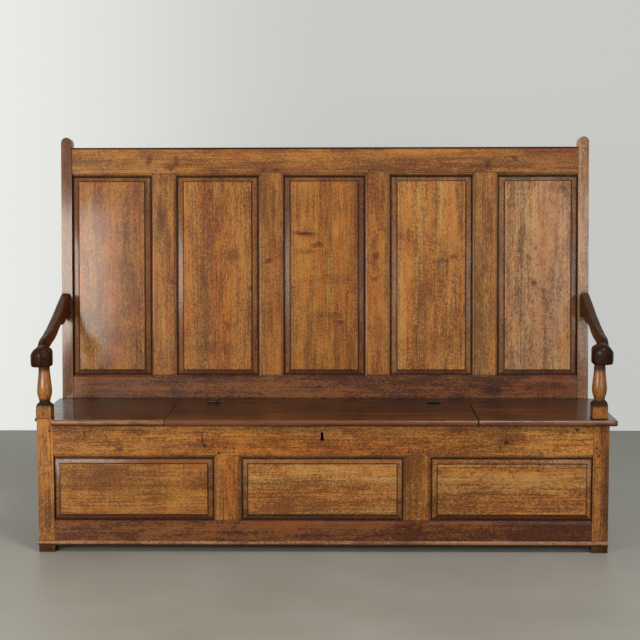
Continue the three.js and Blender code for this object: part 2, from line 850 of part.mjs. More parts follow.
function makeArmSupports() {
  for (const side of [-1, 1]) {
    const place = supportPlace(side);
    const turned = new THREE.LatheGeometry(turnedProfile(side), lathSides).rotateX(Math.PI / 2);
    turned.translate(place, supportMiddle, seatHeight);
    const square = block({
      x: [place - blockWidth / 2, place + blockWidth / 2],
      y: [0, blockDepth],
      z: [seatHeight, knobUnderside(side) + supportTopTenon + overrun]
    });
    const support = solidOf(turned).intersect(square).add(supportFoot(side, 0));
    addPiece(bench, `arm_support_${side < 0 ? 'left' : 'right'}`, support, supportOak);
  }
}

// Seat boards and lid, with a rounded nosing along the front and on the right end
function nosedSection(front, rear) {
  const points = [[rear, seatUnderside]];
  const corners = [
    { radius: nosingUnderRadius, height: seatUnderside + nosingUnderRadius, turn: Math.PI },
    { radius: nosingTopRadius, height: seatHeight - nosingTopRadius, turn: Math.PI / 2 }
  ];
  for (const corner of corners) {
    for (let step = ovoloSteps; step >= 0; step -= 1) {
      const angle = corner.turn + (step / ovoloSteps) * (Math.PI / 2);
      const across = front + corner.radius + corner.radius * Math.cos(angle);
      points.push([across, corner.height + corner.radius * Math.sin(angle)]);
    }
  }
  points.push([rear, seatHeight]);
  return points;
}

function hingeCentres() {
  return [-hingeOffset, hingeOffset];
}

// The leaves are let into the edges on both sides of the seam
function leafSpan(centre, towards, gap) {
  const near = lidRear + towards * (seamGap / 2);
  const far = near + towards * leafThickness;
  return {
    x: [centre - hingeLength / 2 - gap, centre + hingeLength / 2 + gap],
    y: [Math.min(near, far) - gap, Math.max(near, far) + gap],
    z: [seatHeight - leafDrop - gap, hingeHeight]
  };
}

function leafRecesses(towards) {
  return hingeCentres().map((centre) => block(leafSpan(centre, towards, fitGap)));
}

function seatReach(side) {
  return halfFront + (side < 0 ? seatLeftOverhang : seatRightOverhang);
}

function rightEndNosing(along) {
  const section = nosedSection(-seatReach(1), seatReach(-1));
  return prism('y', section.map(([across, up]) => [-across, up]), along);
}

// The overhang at the left end is only the upper half of the board
function leftOverhangCut() {
  return block({
    x: [-seatReach(-1) - overrun, -halfFront],
    y: [-seatOverhang - overrun, boxDepth],
    z: [seatUnderside - overrun, seatHeight - seatLeftEdge]
  });
}

function roundedEndPlan(side) {
  const end = seatReach(side);
  const inner = side < 0 ? -lidLeft : lidRight;
  const plan = [[inner + seamGap / 2, lidRear], [inner + seamGap / 2, -seatOverhang]];
  for (let step = 0; step <= ovoloSteps; step += 1) {
    const angle = -Math.PI / 2 + (step / ovoloSteps) * (Math.PI / 2);
    plan.push([
      end - seatCornerRadius + seatCornerRadius * Math.cos(angle),
      -seatOverhang + seatCornerRadius + seatCornerRadius * Math.sin(angle)
    ]);
  }
  plan.push([end, lidRear]);
  return plan.map(([across, along]) => [side * across, along]);
}

function makeSeatEnds() {
  for (const side of [-1, 1]) {
    const nosed = prism('x', nosedSection(-seatOverhang, lidRear), [-seatReach(-1), seatReach(1)]);
    const flat = prism('z', roundedEndPlan(side), [seatUnderside, seatHeight]);
    const ended = nosed.intersect(flat).intersect(rightEndNosing([-seatOverhang, lidRear]));
    let board = ended.subtract(supportFoot(side, fitGap));
    if (side < 0) {
      const notch = block({
        x: [-seatReach(-1) - overrun, -postInner + fitGap],
        y: [-seatOverhang - overrun, cornerCutDepth + fitGap],
        z: [seatUnderside - overrun, seatHeight + overrun]
      });
      board = cutBy(board, [notch, leftOverhangCut()]);
    }
    addPiece(bench, `seat_end_${side < 0 ? 'left' : 'right'}`, board, seatOak);
  }
}

function makeSeatRear() {
  const span = {
    x: [-seatReach(-1), seatReach(1)],
    y: [lidRear + seamGap / 2, seatRear],
    z: [seatUnderside, seatHeight]
  };
  const ended = block(span).intersect(rightEndNosing(span.y));
  const board = cutBy(ended, [...leafRecesses(1), leftOverhangCut()]);
  addPiece(bench, 'seat_rear_board', board, seatOak);
}

function makeSeatRails() {
  const z = [seatUnderside - bearerDepth, seatUnderside];
  const sag = Math.sin(rake) * (seatHeight - z[0]);
  const bearerRear = boxDepth - sag - fitGap;
  const bearerFront = bearerRear - bearerWidth;
  const bearer = { x: [-sideInner + fitGap, sideInner - fitGap], y: [bearerFront, bearerRear], z };
  addPiece(bench, 'seat_rear_bearer', block(bearer), innerOak);
  const seams = { left: lidLeft, right: lidRight };
  for (const [name, seam] of Object.entries(seams)) {
    const rail = block({
      x: [seam - crossRailWidth / 2, seam + crossRailWidth / 2],
      y: [railThickness + fitGap, bearerFront - fitGap],
      z
    });
    addPiece(bench, `seat_cross_rail_${name}`, rail, innerOak);
  }
}

function makeLid() {
  const x = [lidLeft + seamGap / 2, lidRight - seamGap / 2];
  const plateRoom = block(grown(staplePlate(), fitGap));
  const frontBoard = prism('x', nosedSection(-seatOverhang, glueLine), x).subtract(plateRoom);
  addPiece(bench, 'lid_front_board', frontBoard, seatOak);
  const rearSpan = { x, y: [glueLine + fitGap, lidRear - seamGap / 2], z: [seatUnderside, seatHeight] };
  addPiece(bench, 'lid_rear_board', cutBy(block(rearSpan), leafRecesses(-1)), seatOak);
  ['left', 'right'].forEach((name, index) => {
    const centre = (index === 0 ? -1 : 1) * battenOffset;
    const batten = block({
      x: [centre - battenWidth / 2, centre + battenWidth / 2],
      y: [battenFront, battenRear],
      z: [seatUnderside - battenDepth, seatUnderside]
    });
    addPiece(bench, `lid_batten_${name}`, batten, innerOak);
  });
}

// Butt hinges: the knuckles stand on the seam, two on the fixed leaf and one on the lid's leaf
function makeHinges() {
  ['left', 'right'].forEach((name, index) => {
    const centre = hingeCentres()[index];
    const axis = [lidRear, hingeHeight];
    const half = hingeLength / 2;
    const middle = hingeCentreKnuckle / 2;
    const boreReach = [centre - half - overrun, centre + half + overrun];
    const bore = rod('x', pinRadius + pinClearance, knuckleSides, boreReach, axis);
    const knuckle = (from, to, more) => {
      const reach = [centre + from, centre + to];
      return rod('x', knuckleRadius + more, knuckleSides, reach, axis);
    };
    const outerKnuckles = [knuckle(-half, -middle - fitGap, 0), knuckle(middle + fitGap, half, 0)];
    const outerRoom = [
      knuckle(-half - overrun, -middle, fitGap),
      knuckle(middle, half + overrun, fitGap)
    ];
    const fixed = joined([block(leafSpan(centre, 1, 0)), ...outerKnuckles]);
    const moving = block(leafSpan(centre, -1, 0));
    const fixedLeaf = cutBy(fixed, [bore, knuckle(-middle - fitGap, middle + fitGap, fitGap)]);
    const lidLeaf = cutBy(moving, outerRoom).add(knuckle(-middle, middle, 0)).subtract(bore);
    addPiece(bench, `hinge_fixed_leaf_${name}`, fixedLeaf, iron);
    addPiece(bench, `hinge_lid_leaf_${name}`, lidLeaf, iron);
    const pin = rod('x', pinRadius, knuckleSides, [centre - half, centre + half], axis);
    addPiece(bench, `hinge_pin_${name}`, pin, iron);
  });
}

// The staple's plate is let into the lid from below
function staplePlate() {
  return {
    x: [-staplePlateWidth / 2, staplePlateWidth / 2],
    y: [stapleFront, stapleFront + staplePlateDepth],
    z: [seatUnderside, seatUnderside + staplePlateThickness]
  };
}

// Box lock behind the keyhole: its bolt slides through the eye of a staple under the lid
const lockTop = seatUnderside - fitGap;
const lockFront = railThickness;
const lockRear = lockFront + lockDepth;
const chamberFloor = lockTop - lockHeight + lockWebHeight + lockWebThickness;
const chamberTop = lockTop - lockWall;
const stapleBack = lockFront + stapleRear;
const stapleFront = stapleBack - stapleDepth;
const noseMiddle = (stapleFront + stapleBack) / 2;
const noseBase = seatUnderside - stapleDrop + stapleWall + 3 * fitGap;

function makeLockCase() {
  const outer = {
    x: [-lockWidth / 2, lockWidth / 2],
    y: [lockFront, lockRear],
    z: [lockTop - lockHeight, lockTop]
  };
  const insideX = [outer.x[0] + lockWall, outer.x[1] - lockWall];
  const insideY = [lockFront + lockWall, lockRear - lockWall];
  const chamber = block({ x: insideX, y: insideY, z: [chamberFloor, chamberTop] });
  const keyRoomHeights = [outer.z[0] + lockWall, chamberFloor - lockWebThickness];
  const keyRoom = block({ x: insideX, y: insideY, z: keyRoomHeights });
  const slot = block({
    x: [-stapleWidth / 2 - stapleSlotSide, stapleWidth / 2 + stapleSlotSide],
    y: insideY,
    z: [chamberTop - overrun, lockTop + overrun]
  });
  const keyhole = keyholeCutter([lockFront - overrun, lockFront + lockWall + fitGap]);
  addPiece(bench, 'lock_case', cutBy(block(outer), [chamber, keyRoom, slot, keyhole]), iron);
}

function makeLockBolt() {
  const tip = -boltStart;
  const shoulder = tip - boltNoseLength;
  const body = block({
    x: [shoulder - boltWidth, shoulder],
    y: [lockFront + lockWall + fitGap, lockRear - lockWall - fitGap],
    z: [chamberFloor + fitGap, chamberTop - fitGap]
  });
  const nose = block({
    x: [shoulder - overrun, tip],
    y: [noseMiddle - boltNoseDepth / 2, noseMiddle + boltNoseDepth / 2],
    z: [noseBase, noseBase + boltNoseHeight]
  });
  addPiece(bench, 'lock_bolt', body.add(nose), iron);
}

function makeLidStaple() {
  const loop = block({
    x: [-stapleWidth / 2, stapleWidth / 2],
    y: [stapleFront, stapleBack],
    z: [seatUnderside - stapleDrop, seatUnderside + staplePlateThickness / 2]
  });
  const eye = block({
    x: [-stapleWidth, stapleWidth],
    y: [stapleFront + stapleWall, stapleBack - stapleWall],
    z: [seatUnderside - stapleDrop + stapleWall, noseBase + boltNoseHeight + 3 * fitGap]
  });
  addPiece(bench, 'lid_staple', block(staplePlate()).add(loop).subtract(eye), iron);
}

// Floor of the box: boards on a bearer along the front and one along the back
function makeFloor() {
  const bearerTop = floorTop - floorThickness;
  const z = [bearerTop - floorBearerDepth, bearerTop];
  const frontEdge = railThickness + fitGap;
  const rearEdge = backBottomRail.y[0] - fitGap;
  const front = {
    x: [-postInner + fitGap, postInner - fitGap],
    y: [frontEdge, frontEdge + floorBearerWidth],
    z
  };
  const rear = {
    x: [-stileInner + fitGap, stileInner - fitGap],
    y: [rearEdge - floorBearerWidth, rearEdge],
    z
  };
  addPiece(bench, 'floor_bearer_front', block(front), innerOak);
  addPiece(bench, 'floor_bearer_rear', block(rear), innerOak);
  const first = railThickness + fitGap;
  const last = stileFront - fitGap;
  const width = (last - first + fitGap) / floorBoards - fitGap;
  for (let index = 0; index < floorBoards; index += 1) {
    const start = first + index * (width + fitGap);
    const reach = (index === 0 ? postInner : sideInner) - fitGap;
    const board = block({ x: [-reach, reach], y: [start, start + width], z: [bearerTop, floorTop] });
    addPiece(bench, `floor_board_${index + 1}`, board, innerOak);
  }
}

// Stiles run from the floor to a rounded top, upright below the seat and raked above it
function stileSide() {
  const kink = seatHeight - stileDepth * Math.tan(rake / 2);
  const along = [Math.sin(rake) * stileRise, Math.cos(rake) * stileRise];
  const across = [Math.cos(rake) * stileDepth, -Math.sin(rake) * stileDepth];
  return [
    [stileFront, 0], [stileRear, 0], [stileRear, kink],
    [stileFront + along[0] + across[0], seatHeight + along[1] + across[1]],
    [stileFront + along[0], seatHeight + along[1]], [stileFront, seatHeight]
  ];
}

function stileFace(side) {
  const radius = stileWidth / 2;
  const centre = halfFront - radius;
  const bottom = -2 * seatHeight;
  const points = [[centre - radius, bottom], [centre + radius, bottom]];
  for (let step = 0; step <= 2 * ovoloSteps; step += 1) {
    const angle = (step / (2 * ovoloSteps)) * Math.PI;
    points.push([centre + radius * Math.cos(angle), stileRise - radius + radius * Math.sin(angle)]);
  }
  return points.map(([across, up]) => [side * across, up]);
}

function makeBackStiles(backTenons) {
  for (const side of [-1, 1]) {
    const ends = [side * halfFront, side * stileInner].sort((low, high) => low - high);
    const upright = prism('x', stileSide(), ends);
    const face = raked(prism('y', stileFace(side), [-boxDepth, boxDepth]));
    const rebateOuter = stileInner + backBoardRebate;
    const rebate = block({
      x: [side * (stileInner - overrun), side * rebateOuter].sort((low, high) => low - high),
      y: [backBottomRail.y[1], stileRear + overrun],
      z: [backBoardBase - fitGap, backBoardTop + fitGap]
    });
    const cuts = [
      ...backTenons.map((tenon) => raked(block(grown(tenon, fitGap)))),
      ...backCutters.map(raked),
      ...sideSockets(side),
      block(grown(backBottomTenon(side), fitGap)),
      block(grown(armTenon(side), fitGap)),
      rebate
    ];
    const stile = cutBy(upright.intersect(face), cuts);
    addPiece(bench, `back_stile_${side < 0 ? 'left' : 'right'}`, stile, backOak);
  }
}

const frontTenons = makeFrontRails();
makeFrontMuntinsAndPanels();
makeBaseMoulding();
makeFrontPosts(frontTenons);
makeSideFrame(-1, 'left');
makeSideFrame(1, 'right');
const backTenons = makeBackFrame();
makeBackStiles(backTenons);
makeLowerBack();
makeSeatEnds();
makeSeatRear();
makeSeatRails();
makeLid();
makeHinges();
makeLockCase();
makeLockBolt();
makeLidStaple();
makeFloor();
makeArms();
makeArmSupports();

// The origin is under the middle of the whole bench, from the seat's nosing to the top of the stiles
// and from the left knob to the right end of the seat
bench.updateMatrixWorld(true);
const wholeBox = new THREE.Box3().setFromObject(bench, true);
bench.position.x = -(wholeBox.min.x + wholeBox.max.x) / 2;
bench.position.y = -(wholeBox.min.y + wholeBox.max.y) / 2;

export default settle;
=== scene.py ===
import math

import bpy
from mathutils import Euler, Matrix, Vector


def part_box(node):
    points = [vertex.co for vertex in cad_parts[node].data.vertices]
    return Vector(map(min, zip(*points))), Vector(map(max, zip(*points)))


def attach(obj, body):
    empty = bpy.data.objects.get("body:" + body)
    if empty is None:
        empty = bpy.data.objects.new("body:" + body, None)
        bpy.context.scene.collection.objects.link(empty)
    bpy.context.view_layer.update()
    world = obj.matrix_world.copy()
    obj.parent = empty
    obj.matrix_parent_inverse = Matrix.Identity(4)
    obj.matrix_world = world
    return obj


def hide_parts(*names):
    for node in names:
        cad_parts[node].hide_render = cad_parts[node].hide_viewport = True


# Old panelled oak settle, in metres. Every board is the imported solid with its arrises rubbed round,
# and the arms and their turned supports are smoothed as by hands. Pegs and wear are added here.
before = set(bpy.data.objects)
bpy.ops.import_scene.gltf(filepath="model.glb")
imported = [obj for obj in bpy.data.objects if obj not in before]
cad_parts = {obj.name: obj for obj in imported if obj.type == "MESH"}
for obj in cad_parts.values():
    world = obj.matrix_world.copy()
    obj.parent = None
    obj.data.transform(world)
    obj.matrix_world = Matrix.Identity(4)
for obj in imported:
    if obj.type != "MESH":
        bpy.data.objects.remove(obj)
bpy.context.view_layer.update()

MM = 0.001
RAKE = math.radians(4)
POST_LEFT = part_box("front_post_left")
POST_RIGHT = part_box("front_post_right")
MIDDLE = (POST_LEFT[0].x + POST_RIGHT[1].x) / 2
FRONT_FACE = POST_LEFT[0].y
SEAT_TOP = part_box("seat_end_left")[1].z
BOX_DEPTH = 0.459
BACK_PIVOT = Vector((MIDDLE, FRONT_FACE + BOX_DEPTH, SEAT_TOP))
SIDE_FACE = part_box("side_top_rail_right")[1].x - MIDDLE
FRAME_BODY = "settle_frame"
LID_BODY = "lid"
BOLT_BODY = "bolt"
LID_NODES = {
    "lid_front_board", "lid_rear_board", "lid_batten_left", "lid_batten_right",
    "hinge_lid_leaf_left", "hinge_lid_leaf_right", "lid_staple",
}


def body_of_node(node):
    if node in LID_NODES:
        return LID_BODY
    return BOLT_BODY if node == "lock_bolt" else FRAME_BODY


def linear(hex_colour):
    """An sRGB hex colour as linear red, green, blue and alpha."""
    channels = [int(hex_colour[start:start + 2], 16) / 255 for start in (1, 3, 5)]
    bent = [c / 12.92 if c <= 0.04045 else ((c + 0.055) / 1.055) ** 2.4 for c in channels]
    return (*bent, 1)


def shaded(hex_colour, shares):
    """The colour with its linear red, green and blue multiplied by three shares."""
    return (*(channel * share for channel, share in zip(linear(hex_colour), shares)), 1)


def add(tree, kind, inputs=None, output=0, stops=(), **settings):
    """Adds a shader node with its settings, links and colour stops, and gives one of its outputs."""
    node = tree.nodes.new("ShaderNode" + kind)
    for name, value in settings.items():
        setattr(node, name, value)
    for name, value in (inputs or {}).items():
        if isinstance(value, bpy.types.NodeSocket):
            tree.links.new(value, node.inputs[name])
        else:
            node.inputs[name].default_value = value
    for _ in stops[2:]:
        node.color_ramp.elements.new(1)
    for element, (place, colour) in zip(node.color_ramp.elements if stops else (), stops):
        element.position = place
        element.color = colour if isinstance(colour, tuple) else (colour, colour, colour, 1)
    return node.outputs[output] if node.outputs else node


# Sockets of a Mix node that mixes colours
FACTOR, FIRST, SECOND, MIXED = 0, 6, 7, 2

# A board is looked at square on: its face is y = 0 and y runs into the wood. Each view has the turn
# that brings the bench into that position, and the place on the bench that becomes zero.
VIEWS = {
    "front": (Euler((0, 0, 0)), Vector((MIDDLE, FRONT_FACE, 0))),
    "back": (Euler((RAKE, 0, 0)), BACK_PIVOT),
    "left": (Euler((0, 0, math.pi / 2)), Vector((MIDDLE - SIDE_FACE, FRONT_FACE, 0))),
    "right": (Euler((0, 0, -math.pi / 2)), Vector((MIDDLE + SIDE_FACE, FRONT_FACE, 0))),
    "top": (Euler((math.pi / 2, 0, 0)), Vector((MIDDLE, FRONT_FACE, SEAT_TOP))),
}

# Turns that bring a board's length onto the x axis of its grain
GRAIN_TURN = {
    "x": Euler((0, 0, 0)),
    "y": Euler((0, 0, -math.pi / 2)),
    "z": Euler((0, math.pi / 2, 0)),
}

# Faces round a panel opening that are moulded and get painted shade: the way they look, and whether both ways
# count
MOULDED = {
    "down": ((0, 0, -1), False),
    "up": ((0, 0, 1), False),
    "sides": ((1, 0, 0), True),
}

# Black wax and painted shade in the edges of an opening: depth behind the frame's face in metres, and
# strength
EDGE_WAX_AND_SHADE = {
    "panel": [(0.0021, 0.0), (0.0025, 0.95), (0.0053, 0.9), (0.0066, 0.0), (0.0098, 0.0),
              (0.0108, 1.0), (0.0135, 1.0), (0.015, 0.0)],
    "down": [(0.0004, 0.3), (0.0012, 0.85), (0.0034, 0.9), (0.0075, 0.85), (0.0086, 1.0)],
    "up": [(0.0002, 0.0), (0.0075, 0.1), (0.0095, 1.0)],
    "sides": [(0.0002, 0.5), (0.0026, 0.8), (0.0036, 0.5), (0.0065, 0.5), (0.0082, 1.0)],
}
# Thin red-brown wax on a panel's bevels
BEVEL_STAIN = [(0.0021, 0.0), (0.0027, 1.0), (0.0045, 0.75), (0.0135, 1.0), (0.015, 0.0)]
BEHIND_FRAME = 0.02
RAMP_SPAN = 0.02

# How a tone spreads over a board, as shares of its linear colour
PALE_SHARES = (1.5, 1.54, 1.52)
DARK_SHARES = (0.5, 0.42, 0.36)
RED_SHARES = (0.96, 0.76, 0.6)
GOLD_SHARES = (1.1, 1.1, 0.9)
PORE_SHADE = (0.45, 0.36, 0.3, 1)
# Brown of stains, also used for painted shade on panel faces that look down
BROWN_STAIN_AND_SHADE = (0.36, 0.24, 0.17, 1)

# Black of the wax, also used for painted shade
BLACK_WAX_AND_SHADE = linear("#160a05")
DUST = linear("#6f5439")

# Noise patterns of oak: cells per metre along, across and through the grain, detail and roughness.
# Fibres are 200 mm long and 6 mm wide, flecks 8 by 4 mm, and ripples cross the grain every 6 mm. Bands
# are 60 mm wide, blotches 28 mm and clouds 140 mm. Pores are drawn 2.4 mm wide, coarser than real ones,
# so that they show.
PATTERNS = [
    ("bend", (0.9, 6, 6), 2, 0.5),
    ("band", (0.9, 17, 17), 2, 0.5),
    ("fibre", (5, 165, 165), 3, 0.7),
    ("fleck", (125, 230, 230), 2, 0.6),
    ("mottle", (12, 36, 36), 3, 0.6),
    ("cloud", (2.8, 7, 7), 2, 0.55),
    ("ripple", (165, 48, 48), 2, 0.5),
    ("pore", (60, 420, 420), 2, 0.55),
]
PATTERNS_WITH_CHANCES = ("bend", "band", "mottle", "cloud")

# Year rings: their spacing, how far they wander, and the tree's heart behind the board
RING_GAP = 7 * MM
RING_WANDER = (0, 0.06, 0.06)
HEART_ACROSS = 0.03
HEART_BEHIND = 0.11

# Wear on the seat's front edge: it begins and is full this far from the posts' face, where minus is
# in front of it, and fades out this far below the seat's top
# The worn band is also a painted highlight on the nosing's upper round
WEAR_AND_HIGHLIGHT_FRONT = (-0.006, -0.017)
WEAR_AND_HIGHLIGHT_BELOW = (0.009, 0.017)

# A mark is solid out to the first share of its half size, and gone at the second
MARK_CORE = 0.35
MARK_RIM = 1.2
MARK_WANDER = (0.03, 0, 0.03)

WORM_CELLS_PER_METRE = 34
# How far the painted shade in corners reaches
CORNER_SHADE_REACH = 12 * MM

# Relief in metres
CLOUD_RELIEF = 1.6 * MM
FINE_RELIEF = (("mottle", 0.35 * MM), ("fibre", 0.1 * MM), ("pore", -0.06 * MM))


def seen_square(tree, view):
    """Object coordinates turned to a view, with the direction in which each face looks."""
    turn, zero = VIEWS[view]
    moved = turn.to_matrix() @ zero
    place = add(tree, "Mapping", {
        "Vector": add(tree, "TexCoord", output="Object"), "Rotation": turn, "Location": -moved,
    })
    facing = add(tree, "Mapping", {
        "Vector": add(tree, "NewGeometry", output="True Normal"), "Rotation": turn,
    }, vector_type="VECTOR")
    return place, facing


def by_depth(tree, depth, stops):
    """A strength that follows the depth behind the frame's face."""
    share = add(tree, "Math", {0: depth, 1: 1 / RAMP_SPAN}, operation="MULTIPLY")
    return add(tree, "ValToRGB", {0: share}, stops=[(metres / RAMP_SPAN, grey) for metres, grey in stops])


def edge_wax_and_shade(tree, depth, facing, edge):
    """Black wax where a cloth doesn't reach, and painted shade: beside the panels, in their steps and in the
    mouldings that look down or sideways.
    """
    wax_and_shade = by_depth(tree, depth, EDGE_WAX_AND_SHADE[edge])
    if edge == "panel":
        return wax_and_shade
    towards, both_ways = MOULDED[edge]
    if both_ways:
        facing = add(tree, "VectorMath", {0: facing}, operation="ABSOLUTE")
    turned = add(tree, "VectorMath", {0: facing, 1: towards}, output="Value", operation="DOT_PRODUCT")
    moulded = add(tree, "MapRange", {0: turned, 1: 0.1, 2: 0.35})
    near = add(tree, "Math", {0: depth, 1: BEHIND_FRAME}, operation="LESS_THAN")
    kept = add(tree, "Math", {0: moulded, 1: near}, operation="MULTIPLY")
    return add(tree, "Math", {0: wax_and_shade, 1: kept}, operation="MULTIPLY")


def marked(tree, place, marks):
    """Knots, stains, crack lines and painted shade lines as dark ovals: middle across and up, half sizes in
    mm, and strength.
    """
    darkest = None
    for across, up, half_width, half_height, strength in marks:
        offset = add(tree, "VectorMath", {0: place, 1: (across * MM, 0, up * MM)}, operation="SUBTRACT")
        shares = (1 / (half_width * MM), 0, 1 / (half_height * MM))
        oval = add(tree, "VectorMath", {0: offset, 1: shares}, operation="MULTIPLY")
        span = add(tree, "VectorMath", {0: oval}, output="Value", operation="LENGTH")
        eye = add(tree, "MapRange", {
            0: span, 1: MARK_CORE, 2: MARK_RIM, 3: strength, 4: 0,
        }, interpolation_type="SMOOTHSTEP")
        darkest = eye if darkest is None else add(tree, "Math", {0: darkest, 1: eye}, operation="MAXIMUM")
    return darkest


def oak(name, board, seed):
    """Waxed oak. Long fibres, wavy year rings and 5 mm ripples give the figure, blotches from
    centuries of wax make it redder or more golden by turns, short pores and specks roughen it,
    and dark wax and painted shade lie in every corner and beside the panels."""
    material = bpy.data.materials.new(name)
    material.use_nodes = True
    tree = material.node_tree
    tree.nodes.clear()
    place, facing = seen_square(tree, board["view"])
    shift = (seed * 1.37 % 5, seed * 0.71 % 3, seed * 2.13 % 4)
    along = add(tree, "Mapping", {"Vector": place, "Rotation": GRAIN_TURN[board["grain"]], "Location": shift})

    patterns = {}
    chances = {}
    for pattern, stretch, detail, roughness in PATTERNS:
        stretched = add(tree, "VectorMath", {0: along, 1: stretch}, operation="MULTIPLY")
        texture = {"Vector": stretched, "Scale": 1, "Detail": detail, "Roughness": roughness}
        patterns[pattern] = add(tree, "TexNoise", texture)
        if pattern in PATTERNS_WITH_CHANCES:
            chances[pattern] = add(tree, "TexNoise", texture, output="Color")

    # Year rings round the heart of the tree, which lies behind the board
    bent = add(tree, "VectorMath", {0: chances["bend"], 1: RING_WANDER, 2: along}, operation="MULTIPLY_ADD")
    heart = add(tree, "Mapping", {
        "Vector": bent, "Location": (0, HEART_ACROSS - shift[1], HEART_BEHIND - shift[2]),
        "Rotation": (0, 0.03 * math.sin(seed), 0.025 * math.cos(seed * 1.7)),
    })
    flat = add(tree, "VectorMath", {0: heart, 1: (0, 1, 1)}, operation="MULTIPLY")
    reach = add(tree, "VectorMath", {0: flat}, output="Value", operation="LENGTH")
    years = add(tree, "Math", {0: reach, 1: 1 / RING_GAP}, operation="MULTIPLY")
    year = add(tree, "Math", {0: years}, operation="FRACT")
    rings = add(tree, "ValToRGB", {0: year}, stops=[(0, 0.0), (0.2, 0.5), (0.8, 0.75), (1, 0.0)])

    # The curl shows only in places
    curl_place = add(tree, "SeparateColor", {0: chances["cloud"]}, output=1)
    curled = add(tree, "MapRange", {0: curl_place, 1: 0.46, 2: 0.62, 4: 1})
    curl = add(tree, "Math", {0: patterns["ripple"], 1: 0.5}, operation="SUBTRACT")
    curl = add(tree, "Math", {0: curl, 1: curled}, operation="MULTIPLY")
    weights = board["figure"]
    base = 0.5 - (weights["rings"] + sum(weights[pattern] for pattern in GRAIN)) / 2
    figure = add(tree, "Math", {0: rings, 1: weights["rings"], 2: base}, operation="MULTIPLY_ADD")
    figure = add(tree, "Math", {0: curl, 1: weights["ripple"], 2: figure}, operation="MULTIPLY_ADD")
    for pattern in GRAIN:
        figure = add(tree, "Math", {
            0: patterns[pattern], 1: weights[pattern], 2: figure,
        }, operation="MULTIPLY_ADD")
    tone = board["colour"]
    colour = add(tree, "ValToRGB", {0: figure}, stops=[
        (0.15, shaded(tone, DARK_SHARES)), (0.5, linear(tone)), (0.82, shaded(tone, PALE_SHARES)),
    ])
    for pattern in ("mottle", "band"):
        red_chance = add(tree, "SeparateColor", {0: chances[pattern]}, output=1)
        gold_chance = add(tree, "SeparateColor", {0: chances[pattern]}, output=2)
        for chance, shares in ((red_chance, RED_SHARES), (gold_chance, GOLD_SHARES)):
            patch = add(tree, "MapRange", {0: chance, 1: 0.48, 2: 0.64, 4: board["patches"]})
            colour = add(tree, "Mix", {FACTOR: patch, FIRST: colour, SECOND: (*shares, 1)}, output=MIXED,
                         data_type="RGBA", blend_type="MULTIPLY", clamp_result=False)
    pores = add(tree, "MapRange", {0: patterns["pore"], 1: 0.54, 2: 0.66, 4: 0.6})
    colour = add(tree, "Mix", {FACTOR: pores, FIRST: colour, SECOND: PORE_SHADE}, output=MIXED,
                 data_type="RGBA", blend_type="MULTIPLY")

    # Paler or darker towards one end: a painted sheen on the front top rail and the left stile, darker at the
    # arms' knobs
    for axis, start, end, shares in board["fades"]:
        spot = add(tree, "SeparateXYZ", {0: place}, output=axis)
        far = add(tree, "MapRange", {0: spot, 1: start * MM, 2: end * MM}, interpolation_type="SMOOTHSTEP")
        colour = add(tree, "Mix", {FACTOR: far, FIRST: colour, SECOND: (*shares, 1)}, output=MIXED,
                     data_type="RGBA", blend_type="MULTIPLY", clamp_result=False)

    # Worn bare along the seat's front edge, with a painted highlight on the nosing's upper round
    if board["worn"]:
        back_from_edge = add(tree, "SeparateXYZ", {0: place}, output=2)
        worn = add(tree, "MapRange", {0: back_from_edge, 1: WEAR_AND_HIGHLIGHT_FRONT[0], 2: WEAR_AND_HIGHLIGHT_FRONT[1]})
        from_top = add(tree, "SeparateXYZ", {0: place}, output=1)
        upper = add(tree, "MapRange", {0: from_top, 1: WEAR_AND_HIGHLIGHT_BELOW[0], 2: WEAR_AND_HIGHLIGHT_BELOW[1], 3: 1, 4: 0})
        worn = add(tree, "Math", {0: worn, 1: upper}, operation="MULTIPLY")
        uneven = add(tree, "MapRange", {0: patterns["mottle"], 1: 0.3, 2: 0.52, 3: 0.25})
        rubbed = add(tree, "Math", {0: worn, 1: uneven}, operation="MULTIPLY")
        colour = add(tree, "Mix", {FACTOR: rubbed, FIRST: colour, SECOND: linear(board["worn"])},
                     output=MIXED, data_type="RGBA")

    # Brown stain on the bevels and round the knots, made full on panel faces that look down as painted shade
    depth = add(tree, "SeparateXYZ", {0: place}, output=1)
    uneven = add(tree, "VectorMath", {0: chances["mottle"], 1: (0.5, 0.5, 0.5)}, operation="SUBTRACT")
    wandering = add(tree, "VectorMath", {0: uneven, 1: MARK_WANDER, 2: place}, operation="MULTIPLY_ADD")
    stains = []
    if board["edge"] == "panel":
        looks_up = add(tree, "SeparateXYZ", {0: facing}, output=2)
        stain_and_shade_below = add(tree, "MapRange", {0: looks_up, 1: -0.12, 2: -0.3, 3: board["bevel_stain"], 4: 1})
        shade_below = add(tree, "MapRange", {0: looks_up, 1: -0.12, 2: -0.3, 3: 0, 4: 0.95})
        stains.append(add(tree, "Math", {0: by_depth(tree, depth, BEVEL_STAIN), 1: stain_and_shade_below},
                          operation="MULTIPLY"))
    if board["marks"]:
        stains.append(marked(tree, wandering, board["marks"]))
    for stain in stains:
        colour = add(tree, "Mix", {FACTOR: stain, FIRST: colour, SECOND: BROWN_STAIN_AND_SHADE}, output=MIXED,
                     data_type="RGBA", blend_type="MULTIPLY")
